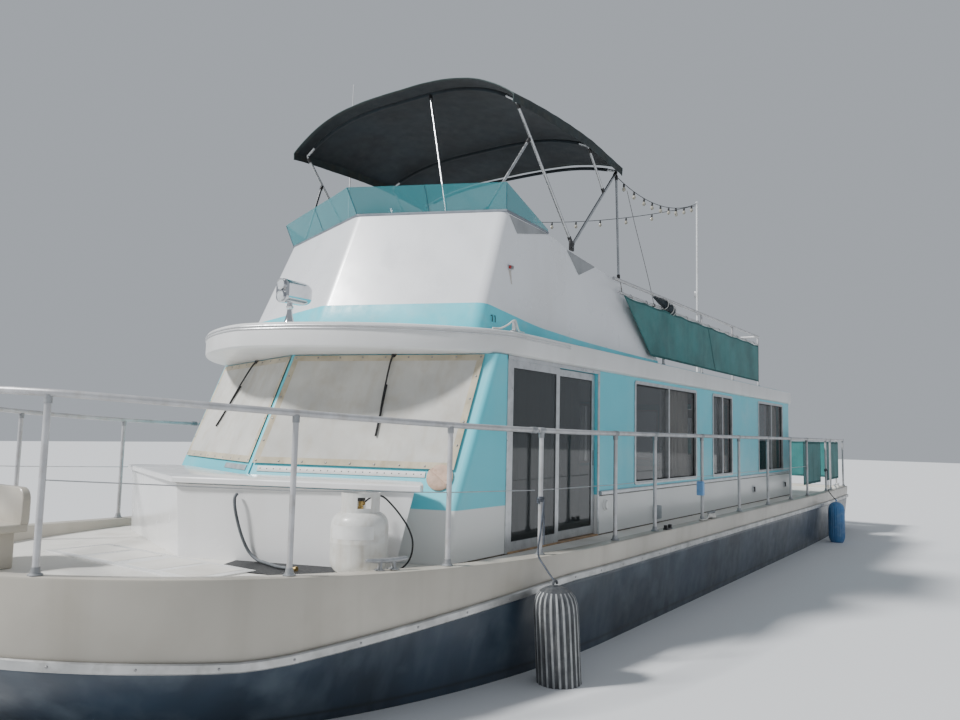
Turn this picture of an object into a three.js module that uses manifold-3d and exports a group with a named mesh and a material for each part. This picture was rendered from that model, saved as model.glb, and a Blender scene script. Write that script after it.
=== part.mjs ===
import * as THREE from 'three';
import { mergeVertices } from 'three/addons/utils/BufferGeometryUtils.js';
import Module from 'manifold-3d';

// A 13 m motor houseboat: a deep, flared hull with a broad rounded bow, a flat side deck all round,
// a long cabin with a raked two-part front, and an upper helm with a folding-frame top on the roof.
// Millimetres. +X forward, +Y to port, +Z up. Origin amidships on the waterline.

const wasm = await Module();
wasm.setup();

// Driving dimensions: hull and deck
const STERN_X = -6550;
const BOW_CENTRE_X = 2700;
const BOW_LENGTH = 3850;
const HALF_BEAM = 1840;
const BOW_FULLNESS = 0.43;
const STERN_TAPER = 0.045;
const STERN_TAPER_FROM = -3000;
const GUNWALE_Z = 690;
const BOW_SHEER = 140;
const SHEER_POWER = 2.3;
const GUNWALE_WIDTH = 105;
const DECK_Z = 650;
const DECK_THICK = 50;
const BAND_BEDDING = 7;
const HULL_WALL = 60;
const GAP = 0.3;
const RUB_Z = 530;
const RUB_DROP = 175;
const RUB_DROP_FROM = 3300;
const RUB_DROP_OVER = 2200;
const RUB_DROP_POWER = 1.2;
const RUB_RISE = 140;
const RUB_RISE_FROM = 5300;
const RUB_RISE_OVER = 1250;
const RUB_RISE_POWER = 1.3;
const RUB_HALF_HEIGHT = 24;
const RUB_PROUD = 26;

// Driving dimensions: cabin
const CABIN_Y = 1424;
const CABIN_AFT_X = -4005;
const WALL = 45;
const SOLE_Z = 90;
const SOLE_THICK = 40;
const CEILING_Z = 1957;
const ROOF_EDGE_Z = 2123;
const ROOF_CROWN_Z = 2165;
const ROOF_Y = 1452;
const ROOF_AFT_X = -4050;
const VISOR_FROM_X = 3450;
const VISOR_LENGTH = 1140;
const SILL_Z = 1016;
const HEAD_Z = 1930;
const DOOR_SILL_Z = 662;
const DOOR_AFT_X = 2187;
const DOOR_FWD_X = 3500;

// Driving dimensions: upper helm and top
const FLY_WALL = 40;
const SCREEN_THICK = 8;
const TOP_FWD_X = 3170;
const TOP_AFT_X = 1250;
const TOP_HALF = 1200;
const TOP_EDGE_Z = 3950;
const TOP_EDGE_RISE = 70;
const TOP_AFT_CROWN = 150;
const TOP_FWD_CROWN = 300;
const TOP_CROWN_POWER = 3.2;
const BOW_DROP = 42;
const TUBE_R = 12.5;
const HINGE_X = 2200;

// Driving dimensions: rails and loose gear
const RAIL_HEIGHT = 765;
const RAIL_R = 17;
const RAIL_INSET = 55;
const SUN_RAIL_Y = 1260;
const SUN_RAIL_Z = 2845;
const CYLINDER_R = 155;

const material = (colour, roughness, metalness) =>
  new THREE.MeshStandardMaterial({ color: colour, roughness, metalness });
const houseboat = new THREE.Group();

// Adds one named piece to the boat.
function piece(name, geometry, finish) {
  const mesh = new THREE.Mesh(geometry, finish);
  mesh.name = name;
  houseboat.add(mesh);
}

// Keeps only merged corner positions, as a closed mesh needs.
function bare(geometry) {
  geometry.deleteAttribute('normal');
  geometry.deleteAttribute('uv');
  return mergeVertices(geometry, 1e-3);
}

function solid(geometry) {
  const merged = bare(geometry.clone());
  return new wasm.Manifold(new wasm.Mesh({
    numProp: 3,
    vertProperties: new Float32Array(merged.attributes.position.array),
    triVerts: new Uint32Array(merged.index.array),
  }));
}

function shape(body) {
  const mesh = body.getMesh();
  const geometry = new THREE.BufferGeometry();
  geometry.setAttribute('position', new THREE.Float32BufferAttribute(mesh.vertProperties, 3));
  geometry.setIndex(new THREE.Uint32BufferAttribute(mesh.triVerts, 1));
  return geometry;
}

const join = (geometries) => shape(geometries.map(solid).reduce((whole, next) => whole.add(next)));
const cut = (geometry, cutters) =>
  shape(cutters.map(solid).reduce((whole, next) => whole.subtract(next), solid(geometry)));

// Skins a row of rings that have equal counts.
function skin(rings) {
  const count = rings[0].length;
  const index = [];
  for (let r = 0; r < rings.length - 1; r += 1) {
    for (let i = 0; i < count; i += 1) {
      const a = r * count + i;
      const b = r * count + ((i + 1) % count);
      index.push(a, b, b + count, a, b + count, a + count);
    }
  }
  const geometry = new THREE.BufferGeometry();
  geometry.setAttribute('position', new THREE.Float32BufferAttribute(rings.flat(2), 3));
  geometry.setIndex(index);
  return geometry;
}

// A skin whose last ring is its first again, such as the band round the edge of a deck.
const hoop = (rings) => outward(mergeVertices(skin([...rings, rings[0]]), 1e-3));

// A skin closed at each end by a strip between its first and last points, so a ring runs out along
// one side and back along the other.
function loft(rings) {
  const count = rings[0].length;
  const geometry = skin(rings);
  const index = Array.from(geometry.index.array);
  const close = (start, flip) => {
    for (let i = 0; i < count - 2 - i; i += 1) {
      const far = count - 1 - i;
      const faces = [[i, i + 1, far]];
      if (far - 1 !== i + 1) faces.push([i + 1, far - 1, far]);
      faces.forEach((face) => index.push(...(flip ? face.toReversed() : face).map((k) => k + start)));
    }
  };
  close(0, true);
  close((rings.length - 1) * count, false);
  geometry.setIndex(index);
  return outward(geometry);
}

// Turns a closed mesh so that its faces point out.
function outward(geometry) {
  const at = geometry.attributes.position;
  const [a, b, c] = [new THREE.Vector3(), new THREE.Vector3(), new THREE.Vector3()];
  const index = Array.from(geometry.index.array);
  let volume = 0;
  for (let i = 0; i < index.length; i += 3) {
    a.fromBufferAttribute(at, index[i]);
    b.fromBufferAttribute(at, index[i + 1]);
    c.fromBufferAttribute(at, index[i + 2]);
    volume += a.dot(b.cross(c));
  }
  if (volume < 0) geometry.setIndex(index.reverse());
  return geometry;
}

// A box between two corners.
function block(x0, x1, y0, y1, z0, z1) {
  const box = new THREE.BoxGeometry(x1 - x0, y1 - y0, z1 - z0);
  return box.translate((x0 + x1) / 2, (y0 + y1) / 2, (z0 + z1) / 2);
}

// A round bar between two points.
function rod(from, to, radius, sides = 8, endRadius = radius) {
  const start = new THREE.Vector3(...from);
  const span = new THREE.Vector3(...to).sub(start);
  const bar = new THREE.CylinderGeometry(endRadius, radius, span.length(), sides);
  bar.translate(0, span.length() / 2, 0);
  const turn = new THREE.Quaternion().setFromUnitVectors(new THREE.Vector3(0, 1, 0), span.normalize());
  return bar.applyQuaternion(turn).translate(start.x, start.y, start.z);
}

// A bent tube through points.
function tube(points, radius, steps, sides = 8) {
  const path = new THREE.CatmullRomCurve3(points.map((p) => new THREE.Vector3(...p)), false, 'centripetal');
  const ring = new THREE.Shape();
  for (let i = 0; i < sides; i += 1) {
    const turn = (2 * Math.PI * i) / sides;
    const [u, v] = [radius * Math.cos(turn), radius * Math.sin(turn)];
    if (i === 0) ring.moveTo(u, v);
    else ring.lineTo(u, v);
  }
  return new THREE.ExtrudeGeometry(ring, { steps, extrudePath: path, bevelEnabled: false });
}

const lathe = (profile, sides) => {
  const points = profile.map(([r, z]) => new THREE.Vector2(r, z));
  return new THREE.LatheGeometry(points, sides).rotateX(Math.PI / 2);
};
const mirrorRing = (half) => [...half, ...half.slice(0, -1).reverse().map(([x, y, z]) => [x, -y, z])];
const mirrored = (points) => points.map(([x, y, z]) => [x, -y, z]);
const clamp01 = (value) => Math.min(1, Math.max(0, value));

// Height of the gunwale and of the rub rail along the boat.
const sheer = (x) => GUNWALE_Z + BOW_SHEER * clamp01((x - BOW_CENTRE_X) / BOW_LENGTH) ** SHEER_POWER;
const rubLine = (x) => RUB_Z - RUB_DROP * clamp01((x - RUB_DROP_FROM) / RUB_DROP_OVER) ** RUB_DROP_POWER
  + RUB_RISE * clamp01((x - RUB_RISE_FROM) / RUB_RISE_OVER) ** RUB_RISE_POWER;

// Port half of a level outline, from the transom corner to the stem: straight side, then a full
// rounded bow. halfBeam and bowLength size it, height gives z for each x.
const STRAIGHT_X = [-4800, STERN_TAPER_FROM, 0];
const BOW_STEPS = 12;
function outline(halfBeam, bowLength, height, sternX = STERN_X) {
  const points = [sternX, ...STRAIGHT_X].map((x) => {
    const aft = clamp01((STERN_TAPER_FROM - x) / (STERN_TAPER_FROM - STERN_X));
    return [x, halfBeam * (1 - STERN_TAPER * aft * aft), height(x)];
  });
  for (let i = 0; i <= BOW_STEPS; i += 1) {
    const turn = (Math.PI / 2) * (i / BOW_STEPS);
    const x = BOW_CENTRE_X + bowLength * Math.sin(turn);
    const y = i === BOW_STEPS ? 0 : halfBeam * Math.cos(turn) ** (2 * BOW_FULLNESS);
    points.push([x, y, height(x)]);
  }
  return points;
}
const level = (...size) => mirrorRing(outline(...size));
const gunwaleY = (x) => {
  if (x <= BOW_CENTRE_X) {
    const aft = clamp01((STERN_TAPER_FROM - x) / (STERN_TAPER_FROM - STERN_X));
    return HALF_BEAM * (1 - STERN_TAPER * aft * aft);
  }
  return HALF_BEAM * (1 - ((x - BOW_CENTRE_X) / BOW_LENGTH) ** 2) ** BOW_FULLNESS;
};

const navy = material('#22303f', 0.55, 0);
const gelcoat = material('#cfc9bb', 0.45, 0);
const white = material('#e9e9e4', 0.4, 0);
const turquoise = material('#74ccd6', 0.5, 0);
const metal = material('#b4b7ba', 0.35, 0.9);
const glass = material('#2b3539', 0.08, 0);

// Hull: an open shell from the keel to the rub rail. Each level is halfBeam, bowLength, z and the
// wall that the inside leaves there.
const HULL_LEVELS = [
  { halfBeam: 55, bowLength: 1900, z: -480, floor: 75 },
  { halfBeam: 850, bowLength: 2350, z: -340, floor: 75 },
  { halfBeam: 1660, bowLength: 2950, z: -160, floor: 70 },
  { halfBeam: 1765, bowLength: 3290, z: 0, floor: 0 },
];
const RUB_LEVEL = { halfBeam: 1828, bowLength: 3825 };
const hullOuter = loft([
  ...HULL_LEVELS.map((row) => level(row.halfBeam, row.bowLength, () => row.z)),
  level(RUB_LEVEL.halfBeam, RUB_LEVEL.bowLength, rubLine),
]);
const hullInner = loft([
  ...HULL_LEVELS.map((row) => level(Math.max(20, row.halfBeam - HULL_WALL), row.bowLength - HULL_WALL,
    () => row.z + row.floor)),
  level(RUB_LEVEL.halfBeam - HULL_WALL, RUB_LEVEL.bowLength - HULL_WALL, (x) => rubLine(x) + 0.5),
  level(RUB_LEVEL.halfBeam - HULL_WALL, RUB_LEVEL.bowLength - HULL_WALL, (x) => rubLine(x) + 60),
]);
const transomKeep = block(STERN_X - 200, STERN_X + HULL_WALL, -2200, 2200, -700, 900);
const hullVoid = shape(solid(hullInner).subtract(solid(transomKeep)));
const hullShell = cut(hullOuter, [hullVoid]);

// Cabin front: two raked faces that meet at a middle ridge. cornerX and ridgeX give the outer face.
const KNEE_Z = 970;
const RAKE = 0.44;
const FOOT_RAKE = 0.19;
const rakeBack = (z) => (z > KNEE_Z ? (KNEE_Z - z) * RAKE : (KNEE_Z - Math.max(z, DECK_Z)) * FOOT_RAKE);
const cornerX = (z) => 4070 + rakeBack(z);
const ridgeX = (z) => 4548 + rakeBack(z);
const frontX = (y, z) => ridgeX(z) + (cornerX(z) - ridgeX(z)) * (Math.abs(y) / CABIN_Y);
const frontRing = (z, halfWidth, proud, thick) => {
  const [y, s] = [halfWidth, -halfWidth];
  const f = (side) => frontX(side, z) + proud;
  return [[f(y), y, z], [f(0), 0, z], [f(s), s, z],
    [f(s) - thick, s, z], [f(0) - thick, 0, z], [f(y) - thick, y, z]];
};

// Gunwale: a band from the rub rail up, with a flat top, that stands up a little above the deck it
// surrounds. The deck is one level plate inside it, open where the cabin stands.
const DECK_HATCH = { x0: 4970, x1: 5380, half: 740, gap: 6, rise: 10, thick: 34 };
const ENGINE_HATCH = { x0: -5950, x1: -4760, half: 550, gap: 6, rise: 10, thick: 34 };
const well = loft([DECK_Z - 300, DECK_Z + 500].map((z) => mirrorRing([
  [CABIN_AFT_X - GAP, CABIN_Y + GAP, z],
  [cornerX(DECK_Z) + GAP, CABIN_Y + GAP, z],
  [ridgeX(DECK_Z) + 1, 0, z],
])));
const gunwaleInner = (height, inset = 0) => {
  const width = GUNWALE_WIDTH + inset;
  return level(HALF_BEAM - width, BOW_LENGTH - width, height, STERN_X + width);
};
piece('gunwale', hoop([
  level(RUB_LEVEL.halfBeam, RUB_LEVEL.bowLength, (x) => rubLine(x) + GAP),
  level(HALF_BEAM, BOW_LENGTH, sheer),
  gunwaleInner(sheer),
  gunwaleInner((x) => rubLine(x) + BAND_BEDDING),
]), gelcoat);
const hatchHole = (h) => block(h.x0 - h.gap, h.x1 + h.gap, -h.half - h.gap, h.half + h.gap, 400, 800);
const deckPlate = loft([DECK_Z - DECK_THICK, DECK_Z].map((z) => gunwaleInner(() => z, GAP)));
piece('deck', cut(deckPlate, [
  well,
  hatchHole(DECK_HATCH),
  hatchHole(ENGINE_HATCH),
]), gelcoat);

// A hatch lid sits in its opening, a little proud, with a stop lip under its long sides.
const hatchLid = (h) => block(h.x0, h.x1, -h.half, h.half, DECK_Z + h.rise - h.thick, DECK_Z + h.rise);
piece('deck_hatch', hatchLid(DECK_HATCH), white);
piece('engine_hatch', hatchLid(ENGINE_HATCH), white);

// Rub rail: one metal strip from the port quarter round the bow to the starboard quarter.
const RUB_BEDDING = 3;
const rubPath = level(RUB_LEVEL.halfBeam + RUB_BEDDING, RUB_LEVEL.bowLength + RUB_BEDDING, rubLine);
const rubOuter = level(RUB_LEVEL.halfBeam + RUB_PROUD, RUB_LEVEL.bowLength + RUB_PROUD, rubLine);
const rubSections = rubPath.map(([x, y, z], i) => {
  const [ox, oy] = rubOuter[i];
  return [[x, y, z - RUB_HALF_HEIGHT], [x, y, z + RUB_HALF_HEIGHT],
    [ox, oy, z + RUB_HALF_HEIGHT], [ox, oy, z - RUB_HALF_HEIGHT]];
});
piece('rub_rail', loft(rubSections), metal);

// Engine block in the after bilge, with its shaft, strut, propeller and rudder below.
const SHAFT_R = 19;
const PROP_R = 205;
const PROP_HUB_R = 42;
const PROP_X = -5720;
const PROP_Z = -735;
const SHAFT_SLOPE = 0.165;
const shaftZ = (x) => PROP_Z + (x - PROP_X) * SHAFT_SLOPE;
piece('engine', block(-5650, -4700, -330, 330, -330, 420), material('#5b6168', 0.6, 0.5));
const EXIT_X = -4000;
const strutX = PROP_X + 330;
const shaftHole = rod([PROP_X, 0, PROP_Z], [EXIT_X + 60, 0, shaftZ(EXIT_X + 60)], SHAFT_R + 5, 12);
piece('hull', cut(hullShell, [shaftHole]), navy);
piece('shaft', join([
  rod([PROP_X + 75, 0, shaftZ(PROP_X + 75)], [EXIT_X, 0, shaftZ(EXIT_X)], SHAFT_R, 12),
  rod([strutX - 70, 0, shaftZ(strutX - 70)], [strutX + 70, 0, shaftZ(strutX + 70)], 42, 12),
  block(strutX - 45, strutX + 45, -11, 11, shaftZ(strutX), -480 - GAP),
]), metal);

const shaftTilt = Math.atan(SHAFT_SLOPE);
const BLADES = 4;
const blade = () => {
  const root = block(-52, 52, -7, 7, 30, 60);
  const sheet = new THREE.CylinderGeometry(86, 86, 12, 14).scale(1, 1, 1.12);
  sheet.translate(0, 0, PROP_R - 96);
  return join([root, sheet]).rotateZ(Math.PI / 3.1);
};
const propellerParts = [new THREE.CylinderGeometry(PROP_HUB_R * 0.75, PROP_HUB_R, 130, 16).rotateZ(Math.PI / 2)];
for (let i = 0; i < BLADES; i += 1) propellerParts.push(blade().rotateX((2 * Math.PI * i) / BLADES));
piece('propeller', join(propellerParts).rotateY(-shaftTilt).translate(PROP_X, 0, PROP_Z), material('#a8843c', 0.4, 0.9));

// Rudder: blade on a stock that turns under the counter.
const RUDDER_X = -6170;
const rudderBlade = loft([-990, -540].map((z) => [
  [RUDDER_X - 260, 5, z], [RUDDER_X - 60, 16, z], [RUDDER_X + 70, 16, z], [RUDDER_X + 110, 4, z],
  [RUDDER_X + 110, -4, z], [RUDDER_X + 70, -16, z], [RUDDER_X - 60, -16, z], [RUDDER_X - 260, -5, z],
]));
piece('rudder', join([
  rudderBlade,
  rod([RUDDER_X, 0, -700], [RUDDER_X, 0, -488], 19, 12),
]), metal);

// Cabin sole, laid between the walls below the level of the side deck.
const sole = loft([SOLE_Z - SOLE_THICK, SOLE_Z].map((z) => mirrorRing([
  [CABIN_AFT_X, CABIN_Y, z], [cornerX(SOLE_Z) - 2, CABIN_Y, z], [ridgeX(SOLE_Z) - 2, 0, z],
])));
piece('cabin_sole', sole, material('#8a6a48', 0.6, 0));

// Windows and doors of each side: x0 aft end, x1 forward end.
const WINDOWS = [
  { x0: -115, x1: 1471, mullion: 655 },
  { x0: -1334, x1: -619, mullion: -975 },
  { x0: -3654, x1: -2415, mullion: -3060 },
];
const FRAME = 28;
const LEAF = 18;
const SIDES = [{ name: 'port', side: 1 }, { name: 'starboard', side: -1 }];
const sideProfile = [
  [CABIN_AFT_X, CEILING_Z - GAP], [cornerX(CEILING_Z), CEILING_Z - GAP], [cornerX(KNEE_Z), KNEE_Z],
  [cornerX(DECK_Z), DECK_Z], [cornerX(DECK_Z), SOLE_Z + GAP], [CABIN_AFT_X, SOLE_Z + GAP],
];
const BELT = { z0: 962, z1: 996, proud: 24, x0: CABIN_AFT_X + 5, x1: DOOR_AFT_X - 40 };

for (const { name, side } of SIDES) {
  const across = (y0, y1) => [Math.min(side * y0, side * y1), Math.max(side * y0, side * y1)];
  const slab = (x0, x1, y0, y1, z0, z1) => block(x0, x1, ...across(y0, y1), z0, z1);
  const wall = loft([CABIN_Y - WALL, CABIN_Y].map((y) => sideProfile.map(([x, z]) => [x, side * y, z])));
  const belt = slab(BELT.x0, BELT.x1, CABIN_Y - 10, CABIN_Y + BELT.proud, BELT.z0, BELT.z1);
  const openings = WINDOWS.map((w) => slab(w.x0, w.x1, 1200, 1600, SILL_Z, HEAD_Z));
  openings.push(slab(DOOR_AFT_X, DOOR_FWD_X, 1200, 1600, DOOR_SILL_Z, HEAD_Z));
  piece(`cabin_side_${name}`, cut(join([wall, belt]), openings), turquoise);

  // Each window is an aluminium frame with a thinner pane and a middle bar, set in the wall.
  WINDOWS.forEach((w, i) => {
    const [x0, x1, z0, z1] = [w.x0 + GAP, w.x1 - GAP, SILL_Z + GAP, HEAD_Z - GAP];
    const frame = slab(x0, x1, CABIN_Y - WALL, CABIN_Y + 8, z0, z1);
    const recess = (y0, y1) => [[x0 + FRAME, w.mullion - 14], [w.mullion + 14, x1 - FRAME]]
      .map(([a, b]) => slab(a, b, y0, y1, z0 + FRAME, z1 - FRAME));
    const hollow = [...recess(CABIN_Y - 18, CABIN_Y + 20), ...recess(CABIN_Y - WALL - 10, CABIN_Y - 26)];
    piece(`window_${name}_${i + 1}`, cut(frame, hollow), glass);
  });

  // Side door: a fixed leaf forward in the outer track, a sliding leaf aft in the inner track.
  const leaf = (x0, x1, y0, clear) => {
    const [z0, z1] = [DOOR_SILL_Z + clear, HEAD_Z - clear];
    const slabLeaf = slab(x0, x1, y0, y0 + LEAF, z0, z1);
    const pane = [slab(x0 + 52, x1 - 52, y0 + 12, y0 + LEAF + 10, z0 + 60, z1 - 52)];
    return cut(slabLeaf, pane);
  };
  const middle = (DOOR_AFT_X + DOOR_FWD_X) / 2;
  piece(`door_${name}_fixed`, leaf(middle - 30, DOOR_FWD_X - GAP, CABIN_Y - LEAF, GAP), glass);
  piece(`door_${name}`, leaf(DOOR_AFT_X + 6, middle + 30, CABIN_Y - 2 * LEAF - 6, 6), glass);
}

// Cabin front with its two raked windows, the glass behind them and the canvas covers outside.
const FRONT_HALF = CABIN_Y - WALL - GAP;
const PANE_Z = { low: 1235, high: 1905 };
const frontLevels = [SOLE_Z + GAP, DECK_Z, KNEE_Z, CEILING_Z - GAP];
const frontWall = loft(frontLevels.map((z) => frontRing(z, FRONT_HALF, 0, WALL)));
const lookout = (side) => loft([3000, 5200].map((x) => [
  [x, side * 45, PANE_Z.low], [x, side * 1330, PANE_Z.low],
  [x, side * 1290, PANE_Z.high], [x, side * 45, PANE_Z.high],
]));
piece('cabin_front', cut(frontWall, [lookout(1), lookout(-1)]), turquoise);
const screenLevels = [PANE_Z.low - 30, PANE_Z.high + 25];
piece('windshield', loft(screenLevels.map((z) => frontRing(z, 1345, -WALL - 4, 7))), glass);

const COVER = { inner: 18, outerLow: 1355, outerHigh: 1345, low: 1205, high: 1935 };
for (const { name, side } of SIDES) {
  const corners = [
    [side * COVER.inner, COVER.low], [side * COVER.outerLow, COVER.low],
    [side * COVER.outerHigh, COVER.high], [side * COVER.inner, COVER.high],
  ];
  const sheet = [9, 22].map((proud) => corners.map(([y, z]) => [frontX(y, z) + proud, y, z]));
  piece(`windshield_cover_${name}`, loft(sheet), material('#d5cfc0', 0.95, 0));
}

// After bulkhead and its outward-opening door.
const AFT_DOOR = { half: 350, sill: 664, head: 1880, thick: 34, gap: 6 };
const bulkhead = block(CABIN_AFT_X, CABIN_AFT_X + WALL, -FRONT_HALF, FRONT_HALF, SOLE_Z + GAP, CEILING_Z - GAP);
const aftWindow = block(-4200, -3800, -1180, -560, SILL_Z + 60, HEAD_Z - 60);
piece('cabin_aft', cut(bulkhead, [
  block(-4200, -3800, -AFT_DOOR.half, AFT_DOOR.half, AFT_DOOR.sill, AFT_DOOR.head),
  aftWindow,
]), turquoise);
const doorLeaf = block(CABIN_AFT_X, CABIN_AFT_X + AFT_DOOR.thick, -AFT_DOOR.half + AFT_DOOR.gap,
  AFT_DOOR.half - AFT_DOOR.gap, AFT_DOOR.sill + AFT_DOOR.gap, AFT_DOOR.head - AFT_DOOR.gap);
piece('aft_door', cut(doorLeaf, [
  block(CABIN_AFT_X - 10, CABIN_AFT_X + 12, -230, 230, 1180, 1760),
  block(CABIN_AFT_X + 20, CABIN_AFT_X + 60, -230, 230, 1180, 1760),
]), white);

// Roof slab with its rounded visor over the cabin front.
const VISOR_STEPS = 9;
const roofHalf = (inset, z) => {
  const points = [[ROOF_AFT_X + inset, ROOF_Y - inset, z], [0, ROOF_Y - inset, z]];
  for (let i = 0; i <= VISOR_STEPS; i += 1) {
    const share = Math.sin((Math.PI / 2) * (i / VISOR_STEPS));
    const reach = (1 - (1 - share) ** 1.6) ** (1 / 1.5);
    points.push([VISOR_FROM_X + (VISOR_LENGTH - inset) * reach, (ROOF_Y - inset) * (1 - share), z]);
  }
  return points;
};
piece('roof', loft([
  mirrorRing(roofHalf(25, CEILING_Z)),
  mirrorRing(roofHalf(0, CEILING_Z + 30)),
  mirrorRing(roofHalf(0, ROOF_EDGE_Z)),
  mirrorRing(roofHalf(420, ROOF_CROWN_Z)),
]), white);

// Upper helm coaming: base and top stations of the port side, from its raked after end forward.
const FLY_STATIONS = [
  { baseX: 500, baseY: 1250, topX: 1300, topY: 1196, topZ: 2870 },
  { baseX: 1350, baseY: 1250, topX: 1620, topY: 1194, topZ: 2895 },
  { baseX: 2150, baseY: 1246, topX: 2320, topY: 1190, topZ: 2972 },
  { baseX: 2850, baseY: 1240, topX: 2590, topY: 1184, topZ: 3030 },
  { baseX: 3560, baseY: 1215, topX: 3179, topY: 1156, topZ: 3066 },
  { baseX: 3925, baseY: 0, topX: 3553, topY: 0, topZ: 3101 },
];
const FLY_BASE_Z = 2185;
const inward = (x, y) => [x - (y === 0 ? FLY_WALL + 4 : x > 3000 ? 26 : 0), y === 0 ? 0 : y - FLY_WALL];
const flyRing = (corner, z) => {
  const outer = FLY_STATIONS.map((s) => [...corner(s), z(s)]);
  const inner = FLY_STATIONS.map((s) => [...inward(...corner(s)), z(s)]);
  return [...outer, ...mirrored(outer.slice(0, -1)).reverse(),
    ...mirrored(inner.slice(0, -1)), inner.at(-1), ...inner.slice(0, -1).reverse()];
};
const flyBlank = loft([
  flyRing((s) => [s.baseX, s.baseY], () => FLY_BASE_Z - 60),
  flyRing((s) => [s.baseX, s.baseY], () => FLY_BASE_Z),
  flyRing((s) => [s.topX, s.topY], (s) => s.topZ),
]);
const roofTop = loft([
  mirrorRing(roofHalf(-2, CEILING_Z)),
  mirrorRing(roofHalf(-2, ROOF_EDGE_Z + GAP)),
  mirrorRing(roofHalf(418, ROOF_CROWN_Z + GAP)),
]);
piece('flybridge', cut(flyBlank, [roofTop]), white);

// Tinted screen along the top of the coaming.
const SCREEN = [
  { baseX: 2600, baseY: 1184, topX: 2612, topY: 1192, z: 3031.5, rise: 24 },
  { baseX: 3165, baseY: 1157, topX: 3235, topY: 1200, z: 3067, rise: 200 },
  { baseX: 3540, baseY: 0, topX: 3672, topY: 0, z: 3102, rise: 200 },
];
const screenRing = (corner, z) => {
  const outer = SCREEN.map((s) => [...corner(s), z(s)]);
  const inner = outer.map(([x, y, h]) => [x - (x > 3000 ? SCREEN_THICK : 0), y === 0 ? 0 : y - SCREEN_THICK, h]);
  return [...outer, ...mirrored(outer.slice(0, -1)).reverse(),
    ...mirrored(inner.slice(0, -1)), inner.at(-1), ...inner.slice(0, -1).reverse()];
};
piece('tinted_screen', loft([
  screenRing((s) => [s.baseX - 8, s.baseY - 8], (s) => s.z + 1),
  screenRing((s) => [s.topX - 8, s.topY - 8], (s) => s.z + s.rise),
]), material('#2f8f8f', 0.1, 0));

// Helm: console with its wheel, and a bench seat behind.
piece('helm_console', loft([[2760, 3180, ROOF_CROWN_Z + 4], [2800, 3120, 2960]].map(([x0, x1, z]) => [
  [x1, 880, z], [x1, 160, z], [x0, 160, z], [x0, 880, z],
])), white);
const WHEEL = { x: 2700, y: 520, z: 2820, radius: 195, rim: 13, tilt: 0.35, shaft: 91 };
const wheelParts = [
  new THREE.TorusGeometry(WHEEL.radius, WHEEL.rim, 8, 28),
  new THREE.CylinderGeometry(34, 34, 40, 14).rotateX(Math.PI / 2),
  rod([0, 0, 0], [0, 0, -WHEEL.shaft], 12, 12),
];
for (let i = 0; i < 3; i += 1) {
  const turn = Math.PI / 2 + (2 * Math.PI * i) / 3;
  wheelParts.push(rod([0, 0, 0], [WHEEL.radius * Math.cos(turn), WHEEL.radius * Math.sin(turn), 0], 9));
}
const wheel = join(wheelParts).rotateZ(Math.PI / 2).rotateY(-Math.PI / 2 + WHEEL.tilt);
piece('helm_wheel', wheel.translate(WHEEL.x, WHEEL.y, WHEEL.z), metal);
piece('helm_seat', join([
  block(1780, 2180, -820, 820, ROOF_CROWN_Z + 4, 2560),
  block(1700, 1800, -820, 820, ROOF_CROWN_Z + 4, 2850),
]), white);

// Folding-frame top: three bows from one hinge a side, held up by stays, under a crowned cloth whose
// side edges rise a little between its ends.
const archZ = (x, y, drop) => {
  const share = (x - TOP_AFT_X) / (TOP_FWD_X - TOP_AFT_X);
  const edge = TOP_EDGE_Z + TOP_EDGE_RISE * 4 * share * (1 - share);
  const crown = TOP_AFT_CROWN + (TOP_FWD_CROWN - TOP_AFT_CROWN) * share;
  return edge - drop + crown * (1 - Math.abs(y / TOP_HALF) ** TOP_CROWN_POWER);
};
const FRAME_Y = 1150;
const BOW_X = { fwd: 3050, middle: 1850, aft: 1275 };
const BOW_SHARES = [-1, -0.8, -0.45, 0, 0.45, 0.8, 1];
const crownTube = (x) => tube(BOW_SHARES.map((share) =>
  [x, share * FRAME_Y, archZ(x, share * FRAME_Y, BOW_DROP)]), TUBE_R, 14);
const coamingTop = { z: 3000, y: 1170 };
const legTop = (x, side) => [x, side * (FRAME_Y - 4), archZ(x, FRAME_Y, BOW_DROP + 6)];
const bowLegs = (x, footZ) => [1, -1].map((side) =>
  rod([HINGE_X, side * coamingTop.y, footZ], legTop(x, side), TUBE_R));
const STAYS = [
  [[BOW_X.aft, 1176, 2885], [BOW_X.aft, 1146, 3900]],
  [[1560, 1157, 3640], [BOW_X.middle, 1146, 3985]],
  [[3195, 975, 3078], [2850, 1151, 3735]],
];
const frameParts = [
  ...Object.values(BOW_X).map(crownTube),
  ...bowLegs(BOW_X.fwd, coamingTop.z + 45),
  ...bowLegs(BOW_X.aft, coamingTop.z),
];
for (const [from, to] of STAYS) {
  frameParts.push(rod(from, to, TUBE_R * 0.9));
  frameParts.push(rod(...mirrored([from, to]), TUBE_R * 0.9));
}
frameParts.push(rod([3278, 680, 3092], [BOW_X.fwd, 300, archZ(BOW_X.fwd, 300, BOW_DROP)], TUBE_R * 0.9));
for (const s of [1, -1]) frameParts.push(block(HINGE_X - 35, HINGE_X + 35, s * 1176 - 10, s * 1176 + 10, 2968, 3058));
piece('top_frame', join(frameParts), metal);

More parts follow.
